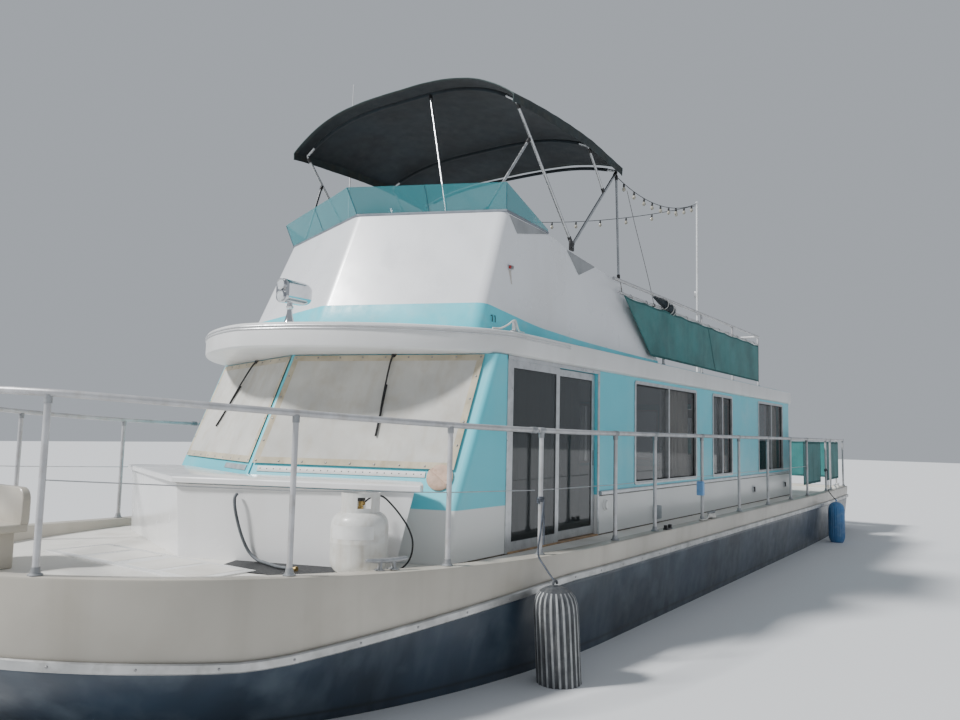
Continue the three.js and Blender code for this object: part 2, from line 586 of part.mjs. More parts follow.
const CLOTH = [-1, -0.985, -0.85, -0.6, -0.3, 0, 0.3, 0.6, 0.85, 0.985, 1];
const clothRing = (x, hang) => {
  const z = (share, lift) => archZ(x, share * TOP_HALF, 0) + lift - (Math.abs(share) === 1 ? hang : 0);
  return [
    ...CLOTH.map((share) => [x, share * TOP_HALF, z(share, 12)]),
    ...CLOTH.toReversed().map((share) => [x, share * (TOP_HALF - 12), z(share, 0)]),
  ];
};
const topCloth = loft([
  clothRing(TOP_AFT_X, 70), clothRing(1730, 80), clothRing(2210, 80), clothRing(2690, 80),
  clothRing(TOP_FWD_X, 60),
]);
piece('top_canvas', topCloth, material('#1d2d33', 0.95, 0));

// Deck rails: white posts on the gunwale carry one tube. Posts are x, and whether one stands there.
const RAIL_POSTS_X = [3610, 2621, 1882, 767, -366, -1471, -2540, -3470, -4790, -5180, -6480];
const railY = (x) => gunwaleY(x) - RAIL_INSET;
const railPoint = (x, side, up) => [x, side * railY(x), sheer(x) + up];
const POST_FOOT = 1.5;
const post = (x, side) => rod([x, side * railY(x), sheer(x) + POST_FOOT], railPoint(x, side, RAIL_HEIGHT), 15);
const railEnd = RAIL_POSTS_X.at(-1);
for (const { name, side } of SIDES) {
  const path = [3650, ...RAIL_POSTS_X, railEnd - 12].map((x) => railPoint(x, side, RAIL_HEIGHT));
  piece(`rail_${name}`, join([tube(path, RAIL_R, 26), ...RAIL_POSTS_X.map((x) => post(x, side))]), metal);
}

// Pulpit: the rail carried on round the bow on its own posts.
const PULPIT_X = [3670, 4000, 4400, 4900, 5292, 5800, 6190];
const PULPIT_POSTS_X = [4400, 5292, 6190];
const pulpitHalf = PULPIT_X.map((x) => railPoint(x, 1, RAIL_HEIGHT));
const tipX = BOW_CENTRE_X + BOW_LENGTH - 75;
const pulpitPath = [...pulpitHalf, [6400, 330, sheer(6400) + RAIL_HEIGHT], [tipX, 0, sheer(tipX) + RAIL_HEIGHT],
  [6400, -330, sheer(6400) + RAIL_HEIGHT], ...mirrored(pulpitHalf).reverse()];
const pulpitPosts = PULPIT_POSTS_X.flatMap((x) => [post(x, 1), post(x, -1)]);
piece('rail_bow', join([tube(pulpitPath, RAIL_R, 36), ...pulpitPosts]), metal);

// Stern rail across the transom.
const sternX = STERN_X + RAIL_INSET;
const sternHalf = railY(railEnd) - 45;
piece('rail_stern', join([
  rod([sternX, -sternHalf, GUNWALE_Z + RAIL_HEIGHT], [sternX, sternHalf, GUNWALE_Z + RAIL_HEIGHT], RAIL_R),
  ...[-0.96, -0.35, 0.35, 0.96].map((share) =>
    rod([sternX, share * sternHalf, GUNWALE_Z + GAP], [sternX, share * sternHalf, GUNWALE_Z + RAIL_HEIGHT], 15)),
]), metal);

// Sun deck rail on the roof: top and lower tubes on posts, round three sides.
const SUN_AFT_X = -3050;
const SUN_FWD_X = 1440;
const SUN_LOW_Z = 2735;
const SUN_POSTS_X = [380, -760, -1900, -3050];
const roofAt = () => ROOF_EDGE_Z + 24;
const sunParts = [];
for (const s of [1, -1]) {
  const y = s * SUN_RAIL_Y;
  sunParts.push(rod([SUN_FWD_X + 120, y, SUN_RAIL_Z], [SUN_AFT_X - 22, y, SUN_RAIL_Z], 16));
  sunParts.push(rod([SUN_FWD_X, y, SUN_LOW_Z], [SUN_AFT_X - 18, y, SUN_LOW_Z], 12));
  SUN_POSTS_X.forEach((x) => sunParts.push(rod([x, y, roofAt()], [x, y, SUN_RAIL_Z - 3], 13.4, 10)));
}
for (const [z, radius] of [[SUN_RAIL_Z, 15], [SUN_LOW_Z, 11]]) {
  sunParts.push(rod([SUN_AFT_X - 3, 4 - SUN_RAIL_Y, z - 1], [SUN_AFT_X - 3, SUN_RAIL_Y - 4, z - 1], radius));
}
piece('sundeck_rail', join(sunParts), metal);

// Shade cloths hung on the sun deck rail and on the after part of the deck rail.
const green = material('#2b6f70', 0.95, 0);
const CLOTH_OUT = 22;
for (const { name, side } of SIDES) {
  const profile = [[1400, 2716], [SUN_AFT_X + 60, 2716], [SUN_AFT_X + 60, 2215], [760, 2215]];
  const [y0, y1] = [SUN_RAIL_Y + CLOTH_OUT, SUN_RAIL_Y + CLOTH_OUT + 6];
  piece(`shade_cloth_${name}`, loft([y0, y1].map((y) => profile.map(([x, z]) => [x, side * y, z]))), green);
}
const DECK_CLOTH = { z0: 820, z1: 1425, inset: 62, thick: 6, portFwd: -3560, portAft: -4760, quarterFwd: -5220 };
const clothStrip = (x0, x1, side) => loft([0, DECK_CLOTH.thick].map((deep) =>
  [[x0, DECK_CLOTH.z1], [x1, DECK_CLOTH.z1], [x1, DECK_CLOTH.z0], [x0, DECK_CLOTH.z0]]
    .map(([x, z]) => [x, side * (railY(x) - DECK_CLOTH.inset - deep), z])));
piece('stern_cloth_port', clothStrip(DECK_CLOTH.portFwd, DECK_CLOTH.portAft, 1), green);
const clothX = sternX + 30;
const clothHalf = railY(clothX) - DECK_CLOTH.inset - 1;
piece('stern_cloth_aft', join([
  clothStrip(DECK_CLOTH.quarterFwd, clothX + 1, 1),
  block(clothX, clothX + DECK_CLOTH.thick, -clothHalf, clothHalf, DECK_CLOTH.z0, DECK_CLOTH.z1),
]), green);

// Staffs and lamp.
const STAFF = { x: -720, y: SUN_RAIL_Y - 34, top: 4150 };
piece('flagpole', rod([STAFF.x, STAFF.y, roofAt()], [STAFF.x, STAFF.y, STAFF.top], 13, 10), white);
const MAST = { x: 2400, y: -1236, foot: 2520, top: 4930 };
piece('antenna', rod([MAST.x, MAST.y, MAST.foot], [MAST.x, MAST.y, MAST.top], 11, 8, 4), white);
const LAMP = { x: 4280, y: 120, z: 2372 };
const lampFoot = join([
  rod([LAMP.x, LAMP.y, ROOF_EDGE_Z], [LAMP.x, LAMP.y, LAMP.z - 190], 60, 14),
  rod([LAMP.x, LAMP.y, LAMP.z - 195], [LAMP.x, LAMP.y, LAMP.z - 120], 30, 12),
]);
piece('searchlight_base', cut(lampFoot, [roofTop]), metal);
const lampBody = lathe([[0, -95], [70, -80], [88, -20], [92, 75], [84, 88], [0, 88]], 20).rotateY(Math.PI / 2);
piece('searchlight', join([
  lampBody.translate(LAMP.x, LAMP.y, LAMP.z),
  rod([LAMP.x, LAMP.y, LAMP.z - 114], [LAMP.x, LAMP.y, LAMP.z - 60], 24, 12),
]), metal);

// Foredeck locker: box against the cabin front, with an overhanging lid that hinges at its back.
const LOCKER = {
  low: { z: DECK_Z + GAP, ridge: 4960, endX: 4475, endY: 1310 },
  high: { z: 1092, ridge: 5000, endX: 4440, endY: 1410 },
  wall: 26,
  endRake: 310,
  hingeX: 4160,
};
const lockerRing = ({ z, ridge, endX, endY }, inset) => {
  const back = (y) => frontX(y, z) + 1 + inset;
  const [x, y] = [endX - inset * 0.4, endY - inset * 1.6];
  const backY = y - LOCKER.endRake;
  return [[x, y, z], [ridge - inset, 0, z], [x, -y, z],
    [back(backY), -backY, z], [back(0), 0, z], [back(backY), backY, z]];
};
const kneeLevel = { z: KNEE_Z, ridge: 4988, endX: 4450, endY: 1382 };
const lockerBox = loft([LOCKER.low, kneeLevel, LOCKER.high].map((row) => lockerRing(row, 0)));
const lockerHollow = loft([
  lockerRing({ ...LOCKER.low, z: DECK_Z + 40 }, LOCKER.wall),
  lockerRing(kneeLevel, LOCKER.wall),
  lockerRing({ ...LOCKER.high, z: 1200 }, LOCKER.wall),
]);
piece('locker', cut(lockerBox, [lockerHollow]), white);
const LID = { z0: 1098, z1: 1136, ridge: 5035, endX: 4437, endY: 1470, backY: 1255, backRidge: 4530 };
const lidBreak = (LID.backRidge - LOCKER.hingeX - 20) / 0.335;
piece('locker_lid', loft([LID.z0, LID.z1].map((z) => [
  [LOCKER.hingeX + 20, LID.backY, z], [LID.endX, LID.endY, z], [LID.ridge, 0, z], [LID.endX, -LID.endY, z],
  [LOCKER.hingeX + 20, -LID.backY, z], [LOCKER.hingeX + 20, -lidBreak, z],
  [LID.backRidge, 0, z], [LOCKER.hingeX + 20, lidBreak, z],
])), white);

// Moulded seat in the bow.
piece('bow_seat', join([
  block(5730, 6040, -780, -220, 845, 890),
  block(5770, 5990, -720, -280, DECK_Z + GAP, 860),
  block(5730, 5775, -780, -220, 845, 1085),
]), gelcoat);

// Gas cylinder standing on the foredeck, with its collar and valve.
const TANK = { x: 4720, y: 1265 };
const tankBody = lathe([
  [0, 12], [95, 12], [98, 0], [112, 0], [112, 30], [146, 60], [CYLINDER_R, 95], [CYLINDER_R, 285],
  [140, 325], [104, 348], [40, 362], [0, 364],
], 28);
const collar = lathe([[98, 340], [106, 340], [106, 452], [98, 452], [98, 340]], 28);
const valve = rod([0, 0, 350], [0, 0, 425], 22, 10);
const collarGap = block(-140, -30, -62, 62, 385, 470);
piece('gas_cylinder', join([tankBody, cut(collar, [collarGap]), valve]).translate(TANK.x, TANK.y, DECK_Z + GAP), white);

// Free hoses: the gas hose from the valve to the deck, and a drain hose from the locker lid.
const GAS_HOSE = [
  [4693, 1265, 1045], [4654, 1268, 1066], [4612, 1272, 1080], [4566, 1288, 1070], [4532, 1330, 1022],
  [4510, 1379, 962], [4492, 1416, 902], [4484, 1440, 840], [4480, 1436, 775], [4482, 1412, 718],
  [4492, 1368, 677], [4518, 1345, 662],
];
const DRAIN_HOSE = [
  [4858, 400, 1046], [4874, 402, 1030], [4878, 408, 980], [4862, 424, 880], [4838, 446, 785],
  [4814, 478, 712], [4800, 535, 672], [4802, 600, 664], [4826, 690, 664], [4846, 780, 664], [4836, 870, 664],
];
const hoseFinish = material('#17181a', 0.6, 0);

// Fenders hang over the side on a lanyard from a rail post; trail is how far aft the lower end swings.
const FENDERS = [
  {
    name: 'fender_fore', x: 3790, radius: 132, top: 560, length: 790, post: 3610, held: 1030, sides: 22,
    trail: 0.11,
  },
  {
    name: 'fender_aft', x: -4350, radius: 110, top: 570, length: 600, post: -4790, held: 1000, sides: 18,
    trail: 0,
  },
];
for (const f of FENDERS) {
  const y = gunwaleY(f.x) + RUB_PROUD + f.radius + 18;
  const bottom = f.top - f.length;
  const ball = lathe([
    [0, 0], [f.radius * 0.5, 10], [f.radius * 0.9, 70], [f.radius, 150], [f.radius, f.length - 150],
    [f.radius * 0.9, f.length - 70], [f.radius * 0.5, f.length - 14], [0, f.length],
  ], f.sides);
  ball.applyMatrix4(new THREE.Matrix4().makeShear(0, 0, 0, 0, f.trail, 0));
  ball.translate(f.x - f.trail * f.length, y, bottom);
  const over = [f.x - (f.x - f.post) * 0.35, gunwaleY(f.x) + 24, GUNWALE_Z + 22];
  piece(f.name, join([
    ball,
    rod([f.x, y, f.top - 20], over, 6, 6),
    rod(over, [f.post, railY(f.post) + 24, f.held], 6, 6),
    new THREE.IcosahedronGeometry(9, 1).translate(...over),
  ]), material('#55585b', 0.8, 0));
}

piece('gas_hose', tube(GAS_HOSE, 5, 36), hoseFinish);
piece('drain_hose', tube(DRAIN_HOSE, 9, 36), hoseFinish);

// Two strings of lamps hang from the top to the flagpole.
const LIGHTS = [
  { name: 'light_string_port', from: [1263, 1147, 3880], to: [STAFF.x + 15, STAFF.y, 4120], sag: 150 },
  { name: 'light_string_cross', from: [1266, -1136, 3880], to: [STAFF.x + 10, STAFF.y - 12, 4100], sag: 155 },
];
for (const { name, from, to, sag } of LIGHTS) {
  const hang = [0, 0.12, 0.25, 0.38, 0.5, 0.62, 0.75, 0.88, 1].map((t) =>
    from.map((value, axis) => value + (to[axis] - value) * t - (axis === 2 ? 4 * sag * t * (1 - t) : 0)));
  piece(name, tube(hang, 3.5, 30), hoseFinish);
}

export default houseboat;
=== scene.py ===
import math

import bmesh
import bpy
from mathutils import Matrix, Vector


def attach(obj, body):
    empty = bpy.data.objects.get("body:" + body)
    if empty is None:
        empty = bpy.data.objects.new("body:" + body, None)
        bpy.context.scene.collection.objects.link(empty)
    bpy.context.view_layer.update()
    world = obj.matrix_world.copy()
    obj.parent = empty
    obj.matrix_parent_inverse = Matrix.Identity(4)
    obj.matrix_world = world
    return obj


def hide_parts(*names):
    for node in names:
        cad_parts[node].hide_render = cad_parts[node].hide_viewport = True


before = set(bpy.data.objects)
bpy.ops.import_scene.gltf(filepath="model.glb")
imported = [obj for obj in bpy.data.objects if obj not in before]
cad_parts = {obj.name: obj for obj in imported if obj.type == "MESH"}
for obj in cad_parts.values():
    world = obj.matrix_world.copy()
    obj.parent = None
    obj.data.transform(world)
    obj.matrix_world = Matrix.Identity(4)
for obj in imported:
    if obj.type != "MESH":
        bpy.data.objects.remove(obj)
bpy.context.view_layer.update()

# Camera: a phone held beside the port bow, about head height above the water, looking aft along the
# boat and a little upwards. Its place comes from the boat's own straight edges.
EYE = Vector((7.85, 4.224, 1.435))
YAW, PITCH, ROLL = (math.radians(a) for a in (35.0, 5.38, 1.30))
SENSOR, LENS, FAR = 36.0, 29.11, 200.0


def placed(name, data):
    thing = bpy.data.objects.new(name, data)
    bpy.context.scene.collection.objects.link(thing)
    return thing


ahead = Vector((-math.cos(YAW) * math.cos(PITCH), -math.sin(YAW) * math.cos(PITCH), math.sin(PITCH)))
level_right = ahead.cross(Vector((0, 0, 1))).normalized()
level_up = level_right.cross(ahead)
right = math.cos(ROLL) * level_right + math.sin(ROLL) * level_up
up = math.cos(ROLL) * level_up - math.sin(ROLL) * level_right
camera_data = bpy.data.cameras.new("camera")
camera_data.sensor_width, camera_data.lens, camera_data.clip_end = SENSOR, LENS, FAR
camera = placed("camera", camera_data)
camera.matrix_world = Matrix.Translation(EYE) @ Matrix((right, up, -ahead)).transposed().to_4x4()
bpy.context.scene.camera = camera


# Stage: a plain pale floor at the waterline, a broad sun from ahead and to starboard, and even light
# from all round.
def shown(name, mesh, finishes, sharp):
    """An object of the mesh, smooth except at edges that turn by more than sharp degrees."""
    for each in finishes:
        mesh.materials.append(each)
    if sharp:
        mesh.shade_smooth()
        mesh.set_sharp_from_angle(angle=math.radians(sharp))
    mesh.update()
    return placed(name, mesh)


def mesh_object(name, vertices, faces, finishes=(), slots=None, sharp=40.0):
    mesh = bpy.data.meshes.new(name)
    mesh.from_pydata([tuple(v) for v in vertices], [], faces)
    if slots is not None:
        mesh.polygons.foreach_set("material_index", slots)
    return shown(name, mesh, finishes, sharp)


def plain(name, colour, rough=0.5, metal=0.0, alpha=1.0, coat=0.0):
    material = bpy.data.materials.new(name)
    material.use_nodes = True
    inputs = material.node_tree.nodes["Principled BSDF"].inputs
    for socket, value in (("Base Color", (*colour, 1)), ("Roughness", rough), ("Metallic", metal),
                          ("Alpha", alpha), ("Coat Weight", coat)):
        inputs[socket].default_value = value
    return material


FLOOR_HALF, SUN_STRENGTH, SUN_BREADTH, WORLD_STRENGTH = 60.0, 4.9, math.radians(7), 0.50
floor = mesh_object("floor",
                    [(FLOOR_HALF * u, FLOOR_HALF * v, 0) for u, v in ((-1, -1), (1, -1), (1, 1), (-1, 1))],
                    [(0, 1, 2, 3)], [plain("floor_pale", (0.72, 0.73, 0.74), 0.7)])
sun_data = bpy.data.lights.new("sun", "SUN")
sun_data.energy, sun_data.angle = SUN_STRENGTH, SUN_BREADTH
placed("sun", sun_data).rotation_euler = Vector((0.72, -0.50, 0.85)).to_track_quat("Z", "Y").to_euler()
world = bpy.data.worlds.new("even_light")
world.use_nodes = True
world.node_tree.nodes["Background"].inputs["Color"].default_value = (0.82, 0.88, 0.96, 1)
world.node_tree.nodes["Background"].inputs["Strength"].default_value = WORLD_STRENGTH
bpy.context.scene.world = world


# Hoses and lamp strings: a black rubber gas hose from the cylinder's valve to a fitting in the deck, a
# drain hose down the locker's front, and two lamp strings from the canvas top to the flagpole.
def node(tree, kind, inputs=None, **settings):
    """A new node with its settings. Each input takes a value, or a socket that is wired to it."""
    made = tree.nodes.new(kind)
    for name, value in settings.items():
        setattr(made, name, value)
    for key, value in (inputs or {}).items():
        if isinstance(value, bpy.types.NodeSocket):
            tree.links.new(value, made.inputs[key])
        else:
            made.inputs[key].default_value = value
    return made


def blend(tree, share, first, second):
    """A Mix node's colour result; 6 and 7 are its colour inputs."""
    return node(tree, "ShaderNodeMix", {0: share, 6: first, 7: (*second, 1)}, data_type="RGBA").outputs[2]


def height_in(tree):
    own_space = node(tree, "ShaderNodeTexCoord").outputs["Object"]
    return node(tree, "ShaderNodeSeparateXYZ", {0: own_space}).outputs["Z"]


def finish(name, colour, rough=0.5, metal=0.0, spread=0.1, size=3.0, stain=None, stains=0.0, runs=0.0,
           grit=60.0, bump=0.15, coat=0.0, sheen=0.0, low=None):
    """A surface with mottling, stains, downward runs and fine grit, all in the piece's own space. Its low
    is a height with the colour below it."""
    material = plain(name, colour, rough, metal, coat=coat)
    tree = material.node_tree
    shader = tree.nodes["Principled BSDF"]
    shader.inputs["Coat Roughness"].default_value = 0.15
    shader.inputs["Sheen Weight"].default_value = sheen
    own_space = node(tree, "ShaderNodeTexCoord").outputs["Object"]

    def noise(scale, detail=4.0, stretch=(1, 1, 1)):
        mapping = node(tree, "ShaderNodeMapping", {"Vector": own_space, "Scale": stretch})
        return node(tree, "ShaderNodeTexNoise", {
            "Vector": mapping.outputs["Vector"], "Scale": scale, "Detail": detail}).outputs["Fac"]

    def ramp(source, start, end, first, last):
        return node(tree, "ShaderNodeMapRange", {
            "Value": source, "From Min": start, "From Max": end, "To Min": first, "To Max": last,
        }).outputs["Result"]

    dark = (*(c * (1 - spread) for c in colour), 1)
    light = tuple(min(1, c * (1 + spread)) for c in colour)
    paint = blend(tree, ramp(noise(size), 0.35, 0.65, 0, 1), dark, light)
    stain = stain or tuple(c * 0.45 for c in colour)
    if stains:
        paint = blend(tree, ramp(noise(size * 2.3, 8), 0.52, 0.75, 0, stains), paint, stain)
    if runs:
        paint = blend(tree, ramp(noise(size * 4, 3, (1, 1, 0.06)), 0.5, 0.72, 0, runs), paint, stain)
    if low:
        height, below = low
        paint = blend(tree, ramp(height_in(tree), height + 0.002, height - 0.002, 0, 1), paint, below)
    tree.links.new(paint, shader.inputs["Base Color"])
    tree.links.new(ramp(noise(size * 5, 5), 0.3, 0.7, max(0.02, rough - 0.07), min(1, rough + 0.09)),
                   shader.inputs["Roughness"])
    ridge = node(tree, "ShaderNodeBump", {"Strength": bump, "Distance": 0.002, "Height": noise(grit, 3)})
    tree.links.new(ridge.outputs["Normal"], shader.inputs["Normal"])
    return material


def smooth_path(points, per_span=6):
    """Points on a centripetal Catmull-Rom curve through the given ones."""
    pts = [Vector(p) for p in points]
    pts = [2 * pts[0] - pts[1], *pts, 2 * pts[-1] - pts[-2]]
    out = []
    for a, b, c, d in zip(pts, pts[1:], pts[2:], pts[3:]):
        t1 = (b - a).length ** 0.5
        t2 = t1 + (c - b).length ** 0.5
        t3 = t2 + (d - c).length ** 0.5
        for k in range(per_span):
            t = t1 + (t2 - t1) * k / per_span
            ab = a * ((t1 - t) / t1) + b * (t / t1)
            bc = b * ((t2 - t) / (t2 - t1)) + c * ((t - t1) / (t2 - t1))
            cd = c * ((t3 - t) / (t3 - t2)) + d * ((t - t2) / (t3 - t2))
            abc = ab * ((t2 - t) / t2) + bc * (t / t2)
            bcd = bc * ((t3 - t) / (t3 - t1)) + cd * ((t - t1) / (t3 - t1))
            out.append(abc * ((t2 - t) / (t2 - t1)) + bcd * ((t - t1) / (t2 - t1)))
    return out + [pts[-2]]


def evenly(start, end, steps):
    return [start + (end - start) * k / steps for k in range(steps + 1)]


def round_angles(steps):
    return [2 * math.pi * k / steps for k in range(steps)]


def rise(z):
    return Vector((0, 0, z))


def bands(rows, sides, ring=False):
    """Faces round rows of vertices. A ring joins its last row to its first; other shapes get two ends."""
    faces = []
    for i in range(rows if ring else rows - 1):
        j = (i + 1) % rows
        faces += [(i * sides + k, i * sides + (k + 1) % sides, j * sides + (k + 1) % sides, j * sides + k)
                  for k in range(sides)]
    if not ring:
        faces += [tuple(reversed(range(sides))), tuple(range((rows - 1) * sides, rows * sides))]
    return faces


def tube(points, radius, sides=12, closed=False):
    """Vertices and faces of a round bar along points; radius may be one number or one for each."""
    points = [Vector(p) for p in points]
    count = len(points)
    radii = radius if isinstance(radius, list) else [radius] * count
    heading = (points[1] - points[0]).normalized()
    side = heading.orthogonal().normalized()
    vertices = []
    for i, p in enumerate(points):
        before, after = points[max(0, i - 1)], points[min(count - 1, i + 1)]
        if closed:
            before, after = points[i - 1], points[(i + 1) % count]
        new = (after - before).normalized()
        side = (heading.rotation_difference(new) @ side).normalized()
        heading = new
        other = heading.cross(side)
        vertices += [p + radii[i] * (math.cos(a) * side + math.sin(a) * other) for a in round_angles(sides)]
    return vertices, bands(count, sides, closed)


def upright(foot, rows, sides):
    """A round piece on a vertical axis, from (height, radius) rows."""
    return tube([foot + rise(z) for z, _ in rows], [r for _, r in rows], sides)


def lathe(centre, rows, sides, ring=False, along_x=False):
    """A turned piece from (station, radius) rows on the upright or on X, whose rows may meet at one level."""
    vertices = []
    for station, radius in rows:
        for a in round_angles(sides):
            u, v = radius * math.cos(a), radius * math.sin(a)
            vertices.append(centre + (Vector((station, u, v)) if along_x else Vector((u, v, station))))
    return vertices, bands(len(rows), sides, ring)


def gathered(name, parts, finishes, sharp=40.0):
    """Joins (vertices, faces) parts into one object; a third entry is the place in finishes."""
    vertices, faces, slots = [], [], []
    for part in parts:
        start = len(vertices)
        vertices += part[0]
        faces += [tuple(i + start for i in f) for f in part[1]]
        slots += [part[2] if len(part) > 2 else 0] * len(part[1])
    return mesh_object(name, vertices, faces, finishes, slots, sharp)


def fit(thing, slot, *stands_for, body="boat"):
    """Fixes a piece to its body, in place of the frame's nodes that it stands for."""
    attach(thing, body)
    if stands_for:
        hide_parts(*stands_for)
    return thing


black_rubber = finish("black_rubber", (0.018, 0.019, 0.02), 0.55, spread=0.3, size=20, bump=0.2)
grey_rubber = finish("grey_rubber", (0.11, 0.12, 0.13), 0.6, spread=0.25, size=18, bump=0.2)
brass = finish("aged_brass", (0.42, 0.30, 0.12), 0.35, 1.0, spread=0.3, size=40, stains=0.5)
MM = 0.001
GAS_HOSE = [
    (4693, 1265, 1045), (4654, 1268, 1066), (4612, 1272, 1080), (4566, 1288, 1070), (4532, 1330, 1022),
    (4510, 1379, 962), (4492, 1416, 902), (4484, 1440, 840), (4480, 1436, 775), (4482, 1412, 718),
    (4492, 1368, 677), (4518, 1345, 662),
]
DRAIN_HOSE = [
    (4858, 400, 1046), (4874, 402, 1030), (4878, 408, 980), (4862, 424, 880), (4838, 446, 785),
    (4814, 478, 712), (4800, 535, 672), (4802, 600, 664), (4826, 690, 664), (4846, 780, 664),
    (4836, 870, 664),
]


def hose_end(name, foot, direction, radius, length):
    """A turned brass end: hexagon, collar and barb on one axis."""
    axis = Vector(direction).normalized()
    steps = [(0, 1.5), (0.3, 1.5), (0.3, 1.15), (0.45, 1.15), (0.45, 1.0), (0.7, 1.05), (0.7, 0.9),
             (1.0, 1.0)]
    points = [Vector(foot) + axis * (length * s) for s, _ in steps]
    return gathered(name, [tube(points, [radius * r for _, r in steps], 14)], [brass], 30)


def hose(name, route, diameter, material, end):
    path = smooth_path([Vector(p) * MM for p in route])
    line = gathered(name + "_line", [tube(path, diameter / 2, 14)], [material], 60)
    fit(line, "hose_rubber", name)
    fit(end, "propeller_bronze")


gas_end = hose_end("gas_deck_fitting", (4.5325, 1.334, 0.6512), (-0.75, 0.6, 0.3), 0.0085, 0.018)
hose("gas_hose", GAS_HOSE, 0.010, black_rubber, gas_end)
drain_end = hose_end("drain_hose_end", (4.829, 0.905, 0.664), (0.1, -1.0, 0.0), 0.0098, 0.035)
hose("drain_hose", DRAIN_HOSE, 0.018, grey_rubber, drain_end)

LAMP_STRINGS = [
    # name, start, end, sag, lamps
    ("light_string_port", (1.263, 1.147, 3.880), (-0.705, 1.226, 4.120), 0.150, 9),
    ("light_string_cross", (1.266, -1.136, 3.880), (-0.710, 1.214, 4.100), 0.155, 10),
]
LAMP_SOCKET = [(0, 0.004), (-0.004, 0.009), (-0.034, 0.011), (-0.038, 0.008)]
LAMP_GLOBE = [(-0.036, 0.008), (-0.046, 0.015), (-0.058, 0.0195), (-0.070, 0.0165), (-0.078, 0.008),
              (-0.080, 0.001)]
lamp_socket = finish("lamp_socket", (0.02, 0.021, 0.022), 0.5, spread=0.2, size=30)
lamp_glass = finish("lamp_glass", (0.35, 0.33, 0.27), 0.12, spread=0.1, size=30, coat=0.6)
for name, start, end, sag, count in LAMP_STRINGS:
    start, end = Vector(start), Vector(end)
    path = smooth_path([start.lerp(end, t) - rise(4 * sag * t * (1 - t))
                        for t in (0, 0.12, 0.25, 0.38, 0.5, 0.62, 0.75, 0.88, 1)], 8)
    wire = gathered(name + "_wire", [tube(path, 0.0035, 8)], [black_rubber], 60)
    tops = [path[round((k + 0.8) * (len(path) - 1) / (count + 0.6))] for k in range(count)]
    lamps = gathered(name + "_lamps", [part for top in tops for part in (
        upright(top, LAMP_SOCKET, 10), (*upright(top, LAMP_GLOBE, 10), 1))], [lamp_socket, lamp_glass], 50)
    fit(wire, "hose_rubber", name)
    fit(lamps, "hose_rubber")


# Hull: a moulded shell, chalky dark blue, with a soft turn of the bilge, a full round bow and a flat
# transom. It stands in the water to its waterline, with a thin dark line scribed just above.
STERN, BOW_CENTRE = -6.550, 2.700
TAPER_FROM, STERN_TAPER = -3.000, 0.045
BOW_STEPS, SIDE_STEPS, FULLNESS = 40, 26, 0.43
TOP_HALF_BEAM, TOP_BOW_LENGTH = 1.828, 3.825


def limited(value):
    return min(1, max(0, value))


def rub_height(x):
    return 0.530 - 0.175 * limited((x - 3.300) / 2.200) ** 1.2 + 0.140 * limited((x - 5.300) / 1.250) ** 1.3


def sheer(x):
    return 0.690 + 0.140 * limited((x - BOW_CENTRE) / 3.850) ** 2.3


def side_y(x, half_beam):
    """Half the beam at x, abaft the bow's centre."""
    return half_beam * (1 - STERN_TAPER * limited((TAPER_FROM - x) / (TAPER_FROM - STERN)) ** 2)


def both_sides(port, skip=0):
    """A line from port over the middle to starboard, without its first points if they are to be skipped."""
    return port + [Vector((p.x, -p.y, p.z)) for p in reversed(port[skip:-1])]


def outline(half_beam, bow_length, height, stern=STERN):
    """Level line from the port quarter round the bow to the starboard quarter."""
    port = [Vector((x, side_y(x, half_beam), height(x))) for x in evenly(stern, BOW_CENTRE, SIDE_STEPS)[:-1]]
    for k in range(BOW_STEPS + 1):
        a = math.pi / 2 * k / BOW_STEPS
        x = BOW_CENTRE + bow_length * math.sin(a)
        port.append(Vector((x, half_beam * math.cos(a) ** (2 * FULLNESS) if k < BOW_STEPS else 0.0,
                            height(x))))
    return both_sides(port)


def skin(rings, closed=True, ends=False, flip=False):
    """Quads between equal rings; a closed ring joins its last point to its first."""
    count = len(rings[0])
    vertices = [v for ring in rings for v in ring]
    faces = []
    for r in range(len(rings) - 1):
        for i in range(count if closed else count - 1):
            j = (i + 1) % count
            quad = (r * count + i, (r + 1) * count + i, (r + 1) * count + j, r * count + j)
            faces.append(quad[::-1] if flip else quad)
    if ends:
        faces += [tuple(reversed(range(count))), tuple(range(len(vertices) - count, len(vertices)))]
    return vertices, faces


HULL_LEVELS = [
    # half beam, bow length, height
    (0.055, 1.900, -0.480), (0.850, 2.350, -0.340), (1.660, 2.950, -0.160), (1.765, 3.290, 0.0),
    (1.800, 3.560, 0.300),
]
hull_rings = [outline(p.x, p.y, lambda x, z=p.z: z) for p in smooth_path(HULL_LEVELS, 4) if p.z <= 0.001]
for share in (0.2, 0.4, 0.6, 0.8, 0.9, 1.0):
    hull_rings.append(outline(1.765 + 0.063 * share, 3.290 + 0.535 * share,
                              lambda x, s=share: (rub_height(x) - 0.001) * s))
vertices, faces = skin(hull_rings)
faces.append(tuple(range(len(hull_rings[0]))))
navy = finish("hull_navy_paint", (0.018, 0.032, 0.052), 0.42, spread=0.35, size=1.6,
              stain=(0.090, 0.118, 0.145), stains=0.6, runs=0.4, coat=0.25, bump=0.08)
tree = navy.node_tree
heights = node(tree, "ShaderNodeMapRange", {"Value": height_in(tree), "From Min": -2.0, "From Max": 2.1})
boot = node(tree, "ShaderNodeValToRGB", {"Fac": heights.outputs["Result"]})
stops = boot.color_ramp.elements
stops[0].color, stops[1].color, stops[1].position = (1, 1, 1, 1), (0, 0, 0, 1), 0.504
for position, dark in ((0.478, 1.0), (0.484, 0.0), (0.496, 0.0), (0.498, 0.75), (0.502, 0.75)):
    stops.new(position).color = (dark, dark, dark, 1)
base_colour = tree.nodes["Principled BSDF"].inputs["Base Color"]
